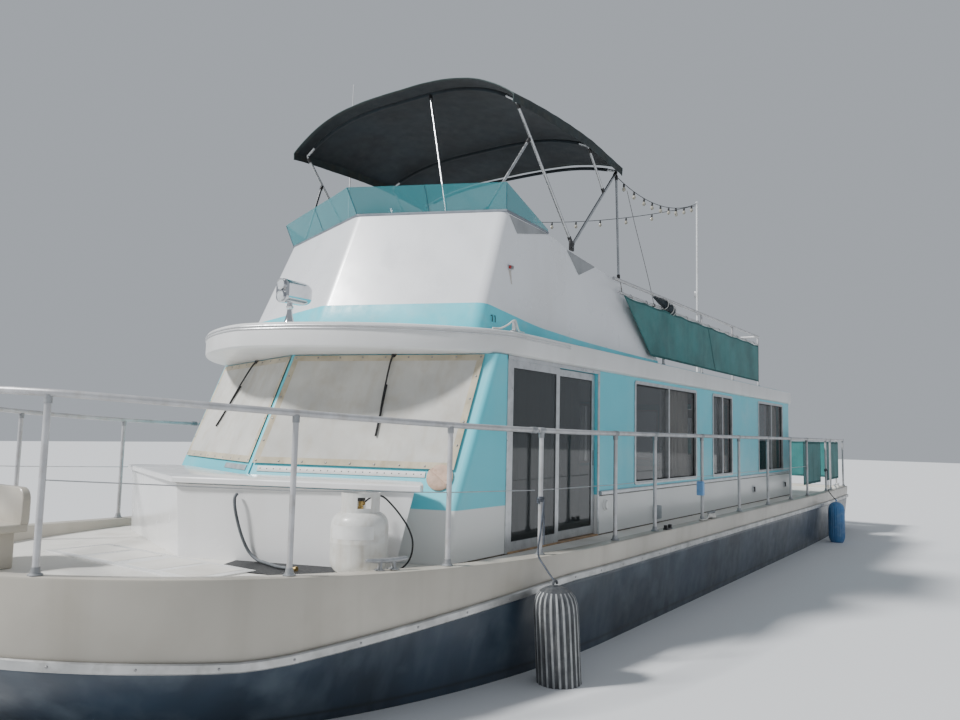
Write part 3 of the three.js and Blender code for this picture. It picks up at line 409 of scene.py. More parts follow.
dark_foot = blend(tree, boot.outputs["Color"], base_colour.links[0].from_socket, (0.012, 0.016, 0.018))
tree.links.new(dark_foot, base_colour)
hull = mesh_object("hull_shell", vertices, faces, [navy], sharp=35)
shell = hull.modifiers.new("wall", "SOLIDIFY")
shell.thickness, shell.offset = 0.03, -1.0
fit(hull, "hull_navy", "hull")


# Deck moulding: one beige moulding from the rub rail up round the gunwale and down to the deck. It has
# rounded edges, rain runs down its band, and a white non-skid deck with lips round its two hatches.
DECK_Z, HALF_BEAM, BOW_LENGTH = 0.650, 1.840, 3.850
CABIN_Y, CABIN_AFT = 1.424, -4.005
KNEE_Z, RAKE, FOOT_RAKE = 0.970, 0.44, 0.19
CORNER_X, RIDGE_X = 4.070, 4.548
HATCH_GAP = 0.006
HATCHES = [
    # name, body, after edge, fore edge, half the width
    ("deck_hatch", "forward_hatch", 4.970, 5.380, 0.740),
    ("engine_hatch", "after_hatch", -5.950, -4.760, 0.550),
]
GUNWALE = [
    # inset from its outer line, height above or below the sheer
    (0.000, -0.014), (0.003, -0.004), (0.012, 0.0), (0.092, 0.0), (0.101, -0.004), (0.105, -0.013),
]
WATERWAY = [(0.107, DECK_Z + 0.016), (0.111, DECK_Z + 0.005), (0.120, DECK_Z)]


def rake_back(z):
    return (KNEE_Z - z) * RAKE if z > KNEE_Z else (KNEE_Z - max(z, DECK_Z)) * FOOT_RAKE


def corner_x(z):
    return CORNER_X + rake_back(z)


def front_x(y, z):
    return RIDGE_X + rake_back(z) - (RIDGE_X - CORNER_X) * abs(y) / CABIN_Y


def loose(vertices, faces):
    """A bmesh of these faces."""
    work = bmesh.new()
    made = [work.verts.new(v) for v in vertices]
    for f in faces:
        work.faces.new([made[i] for i in f])
    return work


def taken(work, outward=True):
    """The vertices and faces of a bmesh, which is freed; its faces are first turned outwards."""
    if outward:
        bmesh.ops.recalc_face_normals(work, faces=work.faces)
    work.verts.index_update()
    out = [v.co.copy() for v in work.verts], [tuple(v.index for v in f.verts) for f in work.faces]
    work.free()
    return out


def filled(outer, holes, z=0.0):
    """A bmesh of a level sheet inside one outline and round some holes."""
    work = bmesh.new()
    for loop in (outer, *holes):
        points = [work.verts.new((*p[:2], z)) for p in loop]
        for a, b in zip(points, points[1:] + points[:1]):
            work.edges.new((a, b))
    bmesh.ops.triangle_fill(work, use_beauty=True, edges=work.edges[:], normal=(0, 0, 1))
    return work


def level_sheet(z, outer, holes):
    work = filled(outer, holes, z)
    for face in work.faces:
        if face.normal.z < 0:
            face.normal_flip()
    return taken(work, outward=False)


def box_corners(x0, x1, y0, y1, grow=0.0):
    return [(x0 - grow, y0 - grow), (x1 + grow, y0 - grow), (x1 + grow, y1 + grow), (x0 - grow, y1 + grow)]


band_beige = finish("band_beige", (0.49, 0.455, 0.39), 0.42, spread=0.09, size=1.3, stain=(0.30, 0.26, 0.20),
                    stains=0.25, runs=0.32, coat=0.25, bump=0.05)
deck_white = finish("deck_white", (0.72, 0.70, 0.65), 0.62, spread=0.07, size=1.7, stain=(0.42, 0.37, 0.29),
                    stains=0.3, grit=420, bump=0.35)
moulding_rings = [outline(TOP_HALF_BEAM + 0.0005, TOP_BOW_LENGTH + 0.0005, lambda x: rub_height(x) + 0.002)]
for inset, lift in GUNWALE:
    moulding_rings.append(outline(HALF_BEAM - inset, BOW_LENGTH - inset, lambda x, dz=lift: sheer(x) + dz,
                                  STERN + inset))
for inset, z in WATERWAY:
    moulding_rings.append(outline(HALF_BEAM - inset, BOW_LENGTH - inset,
                                  lambda x, h=z: min(h, sheer(x) - 0.014), STERN + inset))
well = [(CABIN_AFT, CABIN_Y), (corner_x(DECK_Z), CABIN_Y), (front_x(0, DECK_Z), 0),
        (corner_x(DECK_Z), -CABIN_Y), (CABIN_AFT, -CABIN_Y)]
deck_holes = [well, *[box_corners(x0, x1, -half, half, HATCH_GAP) for _, _, x0, x1, half in HATCHES]]
parts = [skin(moulding_rings), (*level_sheet(DECK_Z, moulding_rings[-1], deck_holes), 1)]
for _, _, x0, x1, half in HATCHES:
    lip = [(HATCH_GAP, 0.0), (HATCH_GAP, -0.030), (-0.022, -0.030), (-0.022, -0.050)]
    parts.append((*skin([[Vector((x, y, DECK_Z + dz)) for x, y in box_corners(x0, x1, -half, half, grow)]
                         for grow, dz in lip], flip=True), 1))
fit(gathered("deck_moulding", parts, [band_beige, deck_white], 32), "deck_gelcoat", "deck", "gunwale")


# Bedding seam: the dirty bead of sealant where the cabin walls stand on the deck.
seam_dirt = finish("seam_dirt", (0.10, 0.085, 0.06), 0.85, spread=0.5, size=9, bump=0.4)
wall_foot = (CABIN_AFT, 0, corner_x(DECK_Z) - 0.03)
fit(gathered("cabin_seam", [
    tube([Vector((x, s * CABIN_Y * 1.001, DECK_Z + 0.002)) for x in wall_foot], 0.006, 6) for s in (1, -1)],
    [seam_dirt], 60), "hose_rubber")


# Rub rail: a flat aluminium strip screwed over the joint of hull and deck, in lengths that butt near
# the bow, with round screw heads at even steps.
def studs(name, points, facings, radius, height, material, slot):
    """Domed heads on points, each facing its own way, made by one Geometry Nodes tree."""
    tree = bpy.data.node_groups.new(name + "_tree", "GeometryNodeTree")
    keys = {}
    for label, kind in (("Geometry", "Geometry"), ("Head Radius", "Float"), ("Head Height", "Float"),
                        ("Finish", "Material")):
        socket = tree.interface.new_socket(label, in_out="INPUT", socket_type="NodeSocket" + kind)
        keys[label] = socket.identifier
    tree.interface.new_socket("Geometry", in_out="OUTPUT", socket_type="NodeSocketGeometry")
    given = node(tree, "NodeGroupInput").outputs
    dome = node(tree, "GeometryNodeMeshUVSphere", {"Segments": 10, "Rings": 6})
    scale = node(tree, "ShaderNodeCombineXYZ", {"X": given["Head Radius"], "Y": given["Head Radius"],
                                                "Z": given["Head Height"]})
    head = node(tree, "GeometryNodeTransform", {"Geometry": dome.outputs["Mesh"], "Scale": scale.outputs[0]})
    facing = node(tree, "GeometryNodeInputNamedAttribute", {"Name": "facing"}, data_type="FLOAT_VECTOR")
    aim = node(tree, "FunctionNodeAlignRotationToVector", {"Vector": facing.outputs["Attribute"]})
    heads = node(tree, "GeometryNodeInstanceOnPoints",
                 {"Points": given["Geometry"], "Instance": head.outputs[0],
                                                        "Rotation": aim.outputs[0]})
    real = node(tree, "GeometryNodeRealizeInstances", {0: heads.outputs[0]})
    painted = node(tree, "GeometryNodeSetMaterial",
                   {"Geometry": real.outputs[0], "Material": given["Finish"]})
    node(tree, "NodeGroupOutput", {0: painted.outputs[0]})
    cloud = mesh_object(name + "_points", points, [], sharp=0)
    held = cloud.data.attributes.new("facing", "FLOAT_VECTOR", "POINT")
    held.data.foreach_set("vector", [c for f in facings for c in Vector(f).normalized()])
    modifier = cloud.modifiers.new("studs", "NODES")
    modifier.node_group = tree
    for label, value in (("Head Radius", radius), ("Head Height", height), ("Finish", material)):
        modifier[keys[label]] = value
    mesh = bpy.data.meshes.new_from_object(cloud.evaluated_get(bpy.context.evaluated_depsgraph_get()))
    bpy.data.objects.remove(cloud)
    mesh.shade_smooth()
    return fit(placed(name, mesh), slot)


def along(points, spacing):
    """Points at even steps along a path, with the direction of travel at each."""
    out, left = [], spacing
    for a, b in zip(points, points[1:]):
        span = (b - a).length
        while left <= span:
            out.append((a.lerp(b, left / span), (b - a).normalized()))
            left += spacing
        left -= span
    return out


RUB_PROFILE = [(0.003, -0.023), (0.019, -0.023), (0.025, -0.017), (0.0255, 0.017), (0.019, 0.023),
               (0.003, 0.023)]
SCREW_SPACING = 0.34
rub_rings = [outline(TOP_HALF_BEAM + o, TOP_BOW_LENGTH + o, lambda x, dz=dz: rub_height(x) + dz)
             for o, dz in RUB_PROFILE]
vertices, faces = skin(rub_rings + rub_rings[:1], closed=False)
count = len(rub_rings[0])
faces += [tuple(k * count for k in range(6)), tuple(k * count + count - 1 for k in reversed(range(6)))]
worn_aluminium = finish("worn_aluminium", (0.52, 0.52, 0.51), 0.42, 0.85, spread=0.18, size=6,
                        stain=(0.20, 0.19, 0.17), stains=0.4, bump=0.2)
rub_rail = mesh_object("rub_strip", vertices, faces, [worn_aluminium], sharp=35)
work = bmesh.new()
work.from_mesh(rub_rail.data)
bmesh.ops.remove_doubles(work, verts=work.verts, dist=0.0002)
bmesh.ops.recalc_face_normals(work, faces=work.faces)
work.to_mesh(rub_rail.data)
work.free()
fit(rub_rail, "rub_aluminium", "rub_rail")
screw_steel = plain("screw_steel", (0.32, 0.32, 0.32), 0.35, 0.9)
spots = along(outline(TOP_HALF_BEAM + 0.0255, TOP_BOW_LENGTH + 0.0255, rub_height), SCREW_SPACING)
studs("rub_screws", [p for p, _ in spots], [(-d.y, d.x, 0) for _, d in spots], 0.0065, 0.003, screw_steel,
      "stainless_tube")


# Hatches: the lids are moulded trays with rounded edges, hinged at one edge, with four pads of non-skid
# that stand a little proud of them.
def slab(x0, x1, y0, y1, z0, z1, edge=0.004, segments=2):
    """A bevelled block."""
    work = bmesh.new()
    bmesh.ops.create_cube(work, size=1)
    bmesh.ops.scale(work, vec=(x1 - x0, y1 - y0, z1 - z0), verts=work.verts)
    bmesh.ops.translate(work, vec=((x0 + x1) / 2, (y0 + y1) / 2, (z0 + z1) / 2), verts=work.verts)
    bmesh.ops.bevel(work, geom=work.edges[:], offset=edge, segments=segments, affect="EDGES", profile=0.6)
    return taken(work, outward=False)


def across(side, y0, y1):
    return min(side * y0, side * y1), max(side * y0, side * y1)


gel_white = finish("gel_white", (0.80, 0.80, 0.78), 0.28, spread=0.04, size=1.4, stain=(0.55, 0.52, 0.44),
                   stains=0.12, runs=0.10, coat=0.4, bump=0.03)
top = DECK_Z + 0.010
for name, body, x0, x1, half in HATCHES:
    parts = [slab(x0, x1, -half, half, top - 0.034, top - 0.0015, 0.006)]
    for side in (-1, 1):
        for k in range(2):
            pad = across(side, half * (0.08 + 0.46 * k), half * (0.46 + 0.46 * k))
            parts.append((*slab(x0 + 0.05, x1 - 0.05, *pad, top - 0.004, top, 0.001, 1), 1))
    fit(gathered(name + "_lid", parts, [gel_white, deck_white]), "white_gelcoat", name, body=body)


# Below the water: the shaft runs out through the bottom to its strut, with a bronze propeller and a
# steel rudder behind. The engine is a painted iron block, and the cabin has a varnished board sole.
def repaint(name, material):
    """Gives one of the frame's own pieces its finish."""
    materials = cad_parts[name].data.materials
    materials.clear()
    materials.append(material)


repaint("engine",
        finish("engine_paint", (0.09, 0.11, 0.13), 0.5, 0.3, spread=0.3, size=5, stains=0.4, bump=0.4))
repaint("shaft", finish("shaft_steel", (0.45, 0.45, 0.44), 0.35, 0.95, spread=0.15, size=14, stains=0.3))
repaint("propeller",
        finish("propeller_bronze", (0.38, 0.26, 0.09), 0.38, 1.0, spread=0.25, size=20, stains=0.5))
repaint("rudder",
        finish("rudder_steel", (0.30, 0.30, 0.29), 0.5, 0.8, spread=0.25, size=9, stains=0.5, bump=0.3))
repaint("cabin_sole", finish("sole_boards", (0.23, 0.14, 0.075), 0.35, spread=0.3, size=4, coat=0.3))


# Cabin sides, sandwich panels painted turquoise above the belt and white below it, with weathered paint,
# an aluminium belt moulding and a radiused corner where each side meets the raked front.
TURQUOISE, WHITE = (0.11, 0.60, 0.71), (0.76, 0.77, 0.75)
PANEL, GAP, SILL, HEAD, CEILING = 0.045, 0.0005, 1.016, 1.930, 1.957
PANEL_TOP = CEILING - GAP
WINDOWS = [(-0.115, 1.471, 0.655), (-1.334, -0.619, -0.975), (-3.654, -2.415, -3.060)]
DOOR_AFT, DOOR_FORE, DOOR_SILL = 2.187, 3.500, 0.662
SIDES = (("port", 1), ("starboard", -1))
BELT = (0.962, 0.996)
CORNER_ROUND = 0.035


def panel(outer, holes, face, thickness, place):
    """A flat panel with holes. place maps (u, v, depth) to a point."""
    work = filled(outer, holes)
    bmesh.ops.recalc_face_normals(work, faces=work.faces)
    grown = bmesh.ops.extrude_face_region(work, geom=work.faces[:])["geom"]
    bmesh.ops.translate(work, vec=(0, 0, thickness),
                        verts=[g for g in grown if isinstance(g, bmesh.types.BMVert)])
    for v in work.verts:
        v.co = place(v.co.x, v.co.y, face + v.co.z)
    return taken(work)


def rounded(u0, u1, v0, v1, r=0.03, steps=5):
    """A rounded rectangle."""
    corners = [(u1 - r, v1 - r, 0), (u0 + r, v1 - r, 90), (u0 + r, v0 + r, 180), (u1 - r, v0 + r, 270)]
    return [(u + r * math.cos(math.radians(a + 90 * k / steps)),
             v + r * math.sin(math.radians(a + 90 * k / steps)))
            for u, v, a in corners for k in range(steps + 1)]


def shrunk(box, margin):
    """A box drawn in on all four sides, or let out where the margin is negative."""
    return tuple(v + margin * sign for v, sign in zip(box, (1, -1, 1, -1)))


def within(box, margin, r):
    return rounded(*shrunk(box, margin), r)


def bar(points, width, depth, out):
    """A flat strip along points: width across it, depth along out, with a slight crown."""
    vertices = []
    out = Vector(out).normalized()
    for k, p in enumerate(points):
        a, b = points[max(0, k - 1)], points[min(len(points) - 1, k + 1)]
        side = (b - a).normalized().cross(out).normalized()
        for u, v in ((-0.5, 0), (-0.5, 0.7), (-0.32, 1), (0.32, 1), (0.5, 0.7), (0.5, 0)):
            vertices.append(p + side * width * u + out * depth * v)
    return taken(loose(vertices, bands(len(points), 6)))


wall_paint = finish("wall_paint", TURQUOISE, 0.38, spread=0.06, size=0.9, stain=(0.36, 0.62, 0.64),
                    stains=0.3, runs=0.22, coat=0.3, bump=0.04, low=(0.968, WHITE))
trim_aluminium = finish("trim_aluminium", (0.62, 0.63, 0.64), 0.38, 0.8, spread=0.08, size=9, stains=0.15)
side_outline = [(CABIN_AFT, 0.091), (CORNER_X - CORNER_ROUND, 0.091)]
side_outline += [(corner_x(z) - CORNER_ROUND, z) for z in (DECK_Z, KNEE_Z, PANEL_TOP)]
side_outline.append((CABIN_AFT, PANEL_TOP))
side_holes = [rounded(x0 - GAP, x1 + GAP, SILL - GAP, HEAD + GAP, 0.035) for x0, x1, _ in WINDOWS]
side_holes.append(box_corners(DOOR_AFT, DOOR_FORE, DOOR_SILL, HEAD))
for name, side in SIDES:
    wall = panel(side_outline, side_holes, CABIN_Y - PANEL, PANEL, lambda u, v, d: Vector((u, side * d, v)))
    belt_line = [Vector((x, side * CABIN_Y, sum(BELT) / 2)) for x in (CABIN_AFT + 0.006, DOOR_AFT - 0.040)]
    belt = bar(belt_line, BELT[1] - BELT[0], 0.023, (0, side, 0))
    dirt = bar([p - rise(0.021) for p in belt_line], 0.006, 0.005, (0, side, 0))
    fit(gathered(f"cabin_wall_{name}", [wall, (*belt, 1), (*dirt, 2)],
                 [wall_paint, trim_aluminium, seam_dirt]),
        "turquoise_paint", f"cabin_side_{name}")


# Side windows: aluminium frames screwed over the cut-outs, with a fixed pane, a sliding pane behind a
# middle bar, a dark gasket and a tan blind behind the after pane.
frame_metal = finish("frame_metal", (0.56, 0.57, 0.58), 0.35, 0.85, spread=0.08, size=12, stains=0.25)
gasket = plain("window_gasket", (0.02, 0.021, 0.022), 0.6)
dark_glass = plain("dark_glass", (0.028, 0.036, 0.04), 0.04, alpha=0.62, coat=0.5)
clear_glass = plain("clear_glass", (0.10, 0.11, 0.115), 0.04, alpha=0.30)
blind_cloth = finish("blind_cloth", (0.34, 0.31, 0.27), 0.9, spread=0.12, size=5, sheen=0.2, bump=0.3)


def on_side(side):
    return lambda u, v, d: Vector((u, side * (CABIN_Y + d), v))


def rim(outer, inner, depth0, depth1, place):
    """A frame between two loops of equal counts, with depth."""
    loops = ((inner, depth0), (outer, depth0), (outer, depth1), (inner, depth1))
    return taken(loose([place(u, v, d) for loop, d in loops for u, v in loop],
                       bands(4, len(outer), ring=True)))


def pane(u0, u1, v0, v1, d0, d1, place):
    """A plain block between two depths."""
    vertices = [place(u, v, d) for d in (d0, d1) for u, v in box_corners(u0, u1, v0, v1)]
    sides = [(i, (i + 1) % 4, (i + 1) % 4 + 4, i + 4) for i in range(4)]
    return taken(loose(vertices, [(0, 1, 2, 3), (4, 5, 6, 7), *sides]))


def cloth_grid(columns, rows, place, thick, hem):
    """A thin closed sheet from place(s, t, depth), s and t in 0..1. Its outer cells are the hem."""
    work = bmesh.new()
    layers = [[[work.verts.new(place(k / columns, r / rows, depth)) for r in range(rows + 1)]
               for k in range(columns + 1)] for depth in (0.0, -thick)]
    area = 0.0
    for index, layer in enumerate(layers):
        for k in range(columns):
            for r in range(rows):
                face = work.faces.new((layer[k][r], layer[k + 1][r], layer[k + 1][r + 1], layer[k][r + 1]))
                face.material_index = int(k < hem or r < hem or k >= columns - hem or r >= rows - hem)
                area += face.calc_area() if index == 0 else 0.0
    loop = ([(k, 0) for k in range(columns)] + [(columns, r) for r in range(rows)]
            + [(k, rows) for k in range(columns, 0, -1)] + [(0, r) for r in range(rows, 0, -1)])
    front, back = layers
    for (ka, ra), (kb, rb) in zip(loop, loop[1:] + loop[:1]):
        face = work.faces.new((front[ka][ra], front[kb][rb], back[kb][rb], back[ka][ra]))
        face.material_index = int(hem > 0)
    bmesh.ops.recalc_face_normals(work, faces=work.faces)
    return work, area


def from_work(name, work, finishes, sharp=60.0):
    """An object of a bmesh, which is freed."""
    mesh = bpy.data.meshes.new(name)
    work.to_mesh(mesh)
    work.free()
    return shown(name, mesh, finishes, sharp)


def pleated(name, u0, u1, v0, v1, depth, folds, swing, rows, place, cloth):
    """A hung cloth with upright folds."""
    steps = folds * 8

    def fold(s, t, behind):
        wave = math.sin(s * folds * 2 * math.pi) + 0.35 * math.sin(s * folds * 3.1 * math.pi + 1.3)
        u = u0 + (u1 - u0) * s + 0.12 * (u1 - u0) / folds * math.sin(t * 4 + s * steps * 0.7) * t
        return place(u, v1 + (v0 - v1) * t, depth + swing * wave * (0.55 + 0.45 * t) + behind)

    columns = [[fold(k / steps, r / rows, 0) for r in range(rows + 1)] for k in range(steps + 1)]
    work, _ = cloth_grid(steps, rows, fold, 0.0015, 0)
    hung = fit(from_work(name, work, [cloth], 70), "cover_canvas")


for name, side in SIDES:
    place = on_side(side)
    for index, (x0, x1, mullion) in enumerate(WINDOWS, 1):
        box = x0, x1, z0, z1 = x0 + GAP, x1 - GAP, SILL + GAP, HEAD - GAP
        inner = within(box, 0.028, 0.02)
        fit(gathered(f"window_{name}_{index}_unit", [
            rim(within(box, 0, 0.034), inner, -PANEL, 0.0075, place),
            (*rim(inner, within(box, 0.036, 0.016), -0.026, -0.012, place), 1),
            pane(mullion - 0.014, mullion + 0.014, z0 + 0.027, z1 - 0.027, -0.03, 0.004, place),
            (*pane(x0 + 0.03, mullion - 0.012, z0 + 0.03, z1 - 0.03, -0.025, -0.020, place), 3),
            (*pane(mullion + 0.012, x1 - 0.03, z0 + 0.03, z1 - 0.03, -0.034, -0.029, place), 2),
        ], [frame_metal, gasket, dark_glass, clear_glass]), "window_glass", f"window_{name}_{index}")
        pleated(f"blind_{name}_{index}", x0 + 0.03, mullion + 0.02, z0 + 0.01, z1 - 0.02, -0.085, 9, 0.010, 3,
                place, blind_cloth)


# Side doors: an aluminium frame with a tan wooden sill, a fixed leaf forward and a sliding leaf aft on
# the inner track. Each leaf has dark glass, a pale curtain hangs behind, and the sliding one a flush pull
# whose recess is a small dark pane of painted shade.
door_metal = finish("door_metal", (0.58, 0.59, 0.60), 0.34, 0.85, spread=0.08, size=10, stains=0.3)
sill_wood = finish("sill_wood", (0.36, 0.23, 0.12), 0.5, spread=0.3, size=14, stains=0.4, coat=0.2)
curtain_cloth = finish("curtain_cloth", (0.60, 0.57, 0.50), 0.9, spread=0.08, size=4, sheen=0.3, bump=0.3)
MIDDLE = (DOOR_AFT + DOOR_FORE) / 2
LAP, STILE, FOOT_RAIL, TOP_RAIL, SEAL = 0.030, 0.05, 0.062, 0.05, 0.007
OUTER_TRACK, INNER_TRACK = -0.018, -0.042


def door_leaf(u0, u1, v0, v1, d0, place):
    hole = (u0 + STILE, u1 - STILE, v0 + FOOT_RAIL, v1 - TOP_RAIL)
    seal = shrunk(hole, SEAL)
    return [rim(box_corners(u0, u1, v0, v1), box_corners(*hole), d0, d0 + 0.018, place),
            (*rim(box_corners(*hole), box_corners(*seal), d0 + 0.006, d0 + 0.013, place), 1),
            (*pane(*shrunk(seal, -0.003), d0 + 0.007, d0 + 0.012, place), 2)]


for name, side in SIDES:
    place = on_side(side)
    fixed = door_leaf(MIDDLE - LAP, DOOR_FORE - GAP, DOOR_SILL + GAP, HEAD - GAP, OUTER_TRACK, place)
    fixed.append((*pane(DOOR_AFT + 0.001, DOOR_FORE - 0.001, DOOR_SILL - 0.010, DOOR_SILL + 0.0002, -PANEL,
                        0.012, place), 3))
    for u in (DOOR_AFT - 0.014, DOOR_FORE + 0.014):
        fixed.append(pane(u - 0.014, u + 0.014, DOOR_SILL - 0.006, HEAD + 0.026, 0.0, 0.006, place))
    fixed.append(pane(DOOR_AFT - 0.028, DOOR_FORE + 0.028, HEAD, HEAD + 0.026, 0.0, 0.007, place))
    fit(gathered(f"door_frame_{name}", fixed, [door_metal, gasket, dark_glass, sill_wood], 30),
        "window_glass", f"door_{name}_fixed")
    sliding = door_leaf(DOOR_AFT + 0.006, MIDDLE + LAP, DOOR_SILL + 0.006, HEAD - 0.006, INNER_TRACK, place)
    # The flush pull: a metal plate, and on it a small dark pane that is painted shade for the pull's recess.
    sliding.append(pane(DOOR_AFT + 0.020, DOOR_AFT + 0.042, 1.19, 1.33, -0.0250, -0.0236, place))
    sliding.append((*pane(DOOR_AFT + 0.025, DOOR_AFT + 0.037, 1.20, 1.32, -0.0240, -0.0232, place), 1))
    fit(gathered(f"door_leaf_{name}", sliding, [door_metal, gasket, dark_glass], 30),
        "window_glass", f"door_{name}", body=f"{name}_door")
    pleated(f"door_curtain_{name}", DOOR_AFT + 0.05, DOOR_FORE - 0.05, 0.70, 1.90, -0.14, 16, 0.016, 5,
            place, curtain_cloth)


# Cabin front: two raked sandwich panels that meet at a middle ridge, turquoise above the knee and white
# below, with rounded corners into the sides, a strip on the ridge, and dark glass behind the lookouts.
FRONT_HALF, FRONT_FOOT = CABIN_Y - CORNER_ROUND, 0.600
LOOKOUT = [(0.045, 1.235), (1.330, 1.235), (1.290, 1.905), (0.045, 1.905)]
FRONT_OUT = (1, 0, RAKE)


def on_front(u, v, d):
    return Vector((front_x(u, v) + d, u, v))


def inside_out(vertices, faces):
    return vertices, [f[::-1] for f in faces]


parts = []
for side in (1, -1):
    for low, high, holes in ((FRONT_FOOT, KNEE_Z, []),
                             (KNEE_Z, PANEL_TOP, [[(side * u, v) for u, v in LOOKOUT]])):
        half = [(0, low), (side * FRONT_HALF, low), (side * FRONT_HALF, high), (0, high)]
        parts.append(panel(half, holes, -PANEL, PANEL, on_front))
    rings = []
    for z in (FRONT_FOOT, KNEE_Z, PANEL_TOP):
        start = Vector((corner_x(z) - CORNER_ROUND, CABIN_Y, z))
        end = Vector((front_x(FRONT_HALF, z), FRONT_HALF, z))
        knee = Vector((corner_x(z) + 0.003, CABIN_Y, z))
        ring = [start.lerp(knee, t / 8).lerp(knee.lerp(end, t / 8), t / 8) for t in range(9)]
        ring += [end - Vector((PANEL, 0, 0)), start - Vector((0, PANEL - 0.001, 0))]
        rings.append([Vector((p.x, side * p.y, p.z)) for p in ring])
    corner = skin(rings, ends=True, flip=True)
    parts.append(corner if side > 0 else inside_out(*corner))
ridge = [Vector((front_x(0, z) - 0.004, 0, z)) for z in (KNEE_Z, 1.3, 1.6, CEILING - 0.001)]
parts.append(bar(ridge, 0.030, 0.010, FRONT_OUT))
fit(gathered("cabin_front_panels", parts, [wall_paint]), "turquoise_paint", "cabin_front")
repaint("windshield", dark_glass)


# Windshield covers: two off-white canvas sheets held flat over the lookouts by snaps, with doubled and
# yellowed hems, a middle seam and slack diagonal creases between the snaps.
canvas_cover = finish("cover_canvas", (0.55, 0.54, 0.50), 0.85, spread=0.10, size=3.2,
                      stain=(0.40, 0.33, 0.22), stains=0.32, runs=0.25, sheen=0.2, grit=900, bump=0.35)
canvas_hem = finish("cover_hem", (0.52, 0.46, 0.34), 0.85, spread=0.14, size=6, stain=(0.30, 0.22, 0.12),
                    stains=0.5, sheen=0.2, grit=900, bump=0.35)
COVER_INNER, COVER_LOW_OUTER, COVER_HIGH_OUTER, COVER_LOW, COVER_HIGH = 0.020, 1.353, 1.343, 1.207, 1.950
for name, side in SIDES:
    def on_cover(s, t, d):
        outer = COVER_LOW_OUTER + (COVER_HIGH_OUTER - COVER_LOW_OUTER) * t
        y, z = COVER_INNER + (outer - COVER_INNER) * s, COVER_LOW + (COVER_HIGH - COVER_LOW) * t
        edge = min(1, 9 * min(s, 1 - s), 7 * min(t, 1 - t))
        crease = (math.sin(9 * s + 7 * t + side) * 0.0022 + math.sin(23 * s - 15 * t + 1.3 * side) * 0.0012
                  + math.sin(41 * s + 29 * t) * 0.0005 + abs(math.sin(15 * s)) * 0.0012)
        return on_front(side * y, z, 0.0150 + edge * crease + 0.0022 * (1 - edge) + d)

    work, area = cloth_grid(64, 36, on_cover, 0.0014, 2)
    sheet = fit(from_work(f"windshield_cover_{name}_cloth", work, [canvas_cover, canvas_hem]),
                "cover_canvas", f"windshield_cover_{name}")
    snap_points = [on_cover(k / 8 * 0.97 + 0.015, t, 0.001) for k in range(9) for t in (0.022, 0.978)]
    snap_points += [on_cover(s, k / 5, 0.001) for k in range(1, 5) for s in (0.014, 0.986)]
    snaps = studs(f"cover_snaps_{name}", snap_points, [(1, side * 0.33, RAKE)] * len(snap_points), 0.007,
                  0.004, screw_steel, "stainless_tube")


# Wipers: a black sprung arm from a spindle under the visor, with a rubber blade lying on each cover.
WIPERS = [((-0.641, 1.945), (-0.913, 1.440)), ((0.737, 1.945), (0.802, 1.400))]
wiper_black = finish("wiper_black", (0.015, 0.015, 0.016), 0.4, spread=0.3, size=30)
for index, ((y0, z0), (y1, z1)) in enumerate(WIPERS, 1):
    def at(t, proud):
        return on_front(y0 + (y1 - y0) * t, z0 + (z1 - z0) * t, proud)

    arm = smooth_path([at(0, 0.026), at(0.05, 0.036), at(0.35, 0.040), at(0.62, 0.036), at(0.70, 0.033)], 5)
    blade = [at(t / 8, 0.0245) for t in range(3, 9)]
    fit(gathered(f"wiper_{index}", [
        tube([at(0, 0.0), at(0, 0.030)], 0.013),
        tube(arm, [0.0075 - 0.004 * k / (len(arm) - 1) for k in range(len(arm))], 8),
        bar(blade, 0.012, 0.007, FRONT_OUT),
        bar([p + Vector((0.005, 0, 0.002)) for p in blade], 0.004, 0.006, FRONT_OUT)], [wiper_black]),
        "hose_rubber")


# After bulkhead and door: a turquoise panel with a fixed window, and an outward-opening white door with
# a glazed upper half and a lever handle.
AFT_HALF = 1.3785
DOORWAY = (-0.350, 0.350, 0.664, 1.880)
AFT_WINDOW, LIGHT = (-1.180, -0.560, 1.076, 1.870), (-0.23, 0.23, 1.18, 1.76)
LEAF_GAP, LEAF_THICK = 0.006, 0.034


def on_aft(u, v, d):
    return Vector((CABIN_AFT - d, u, v))


inner = within(AFT_WINDOW, 0.03, 0.02)
fit(gathered("cabin_aft_panel", [
    panel(box_corners(-AFT_HALF, AFT_HALF, FRONT_FOOT, PANEL_TOP),
          [box_corners(*DOORWAY), rounded(*AFT_WINDOW)], -PANEL, PANEL, on_aft),
    (*rim(rounded(*AFT_WINDOW), inner, -PANEL, 0.004, on_aft), 1),
    (*rim(within(AFT_WINDOW, -0.014, 0.04), inner, 0.0, 0.006, on_aft), 1),
    (*pane(*shrunk(AFT_WINDOW, 0.028), -0.024, -0.019, on_aft), 2),
], [wall_paint, frame_metal, dark_glass]), "turquoise_paint", "cabin_aft")
leaf_corners = box_corners(*DOORWAY, -LEAF_GAP)
handle_y, handle_z = leaf_corners[0][0] + 0.055, 1.06
lever = smooth_path([on_aft(handle_y + dy, handle_z - dz, d)
                     for dy, dz, d in ((0, 0, 0.0), (0, 0, 0.022), (0.03, 0, 0.026), (0.10, 0.002, 0.024))],
                    5)
fit(gathered("aft_door_leaf", [
    panel(leaf_corners, [rounded(*LIGHT)], -LEAF_THICK, LEAF_THICK, on_aft),
    (*rim(rounded(*LIGHT), within(LIGHT, 0.012, 0.022), -0.030, -0.004, on_aft), 1),
    (*pane(-0.222, 0.222, 1.188, 1.752, -0.020, -0.014, on_aft), 2),
    (*tube([on_aft(handle_y, handle_z, d) for d in (0.0, 0.008)], 0.024, 16), 3),
    (*tube(lever, 0.007, 10), 3),
], [gel_white, gasket, dark_glass, frame_metal]), "white_gelcoat", "aft_door", body="after_door")


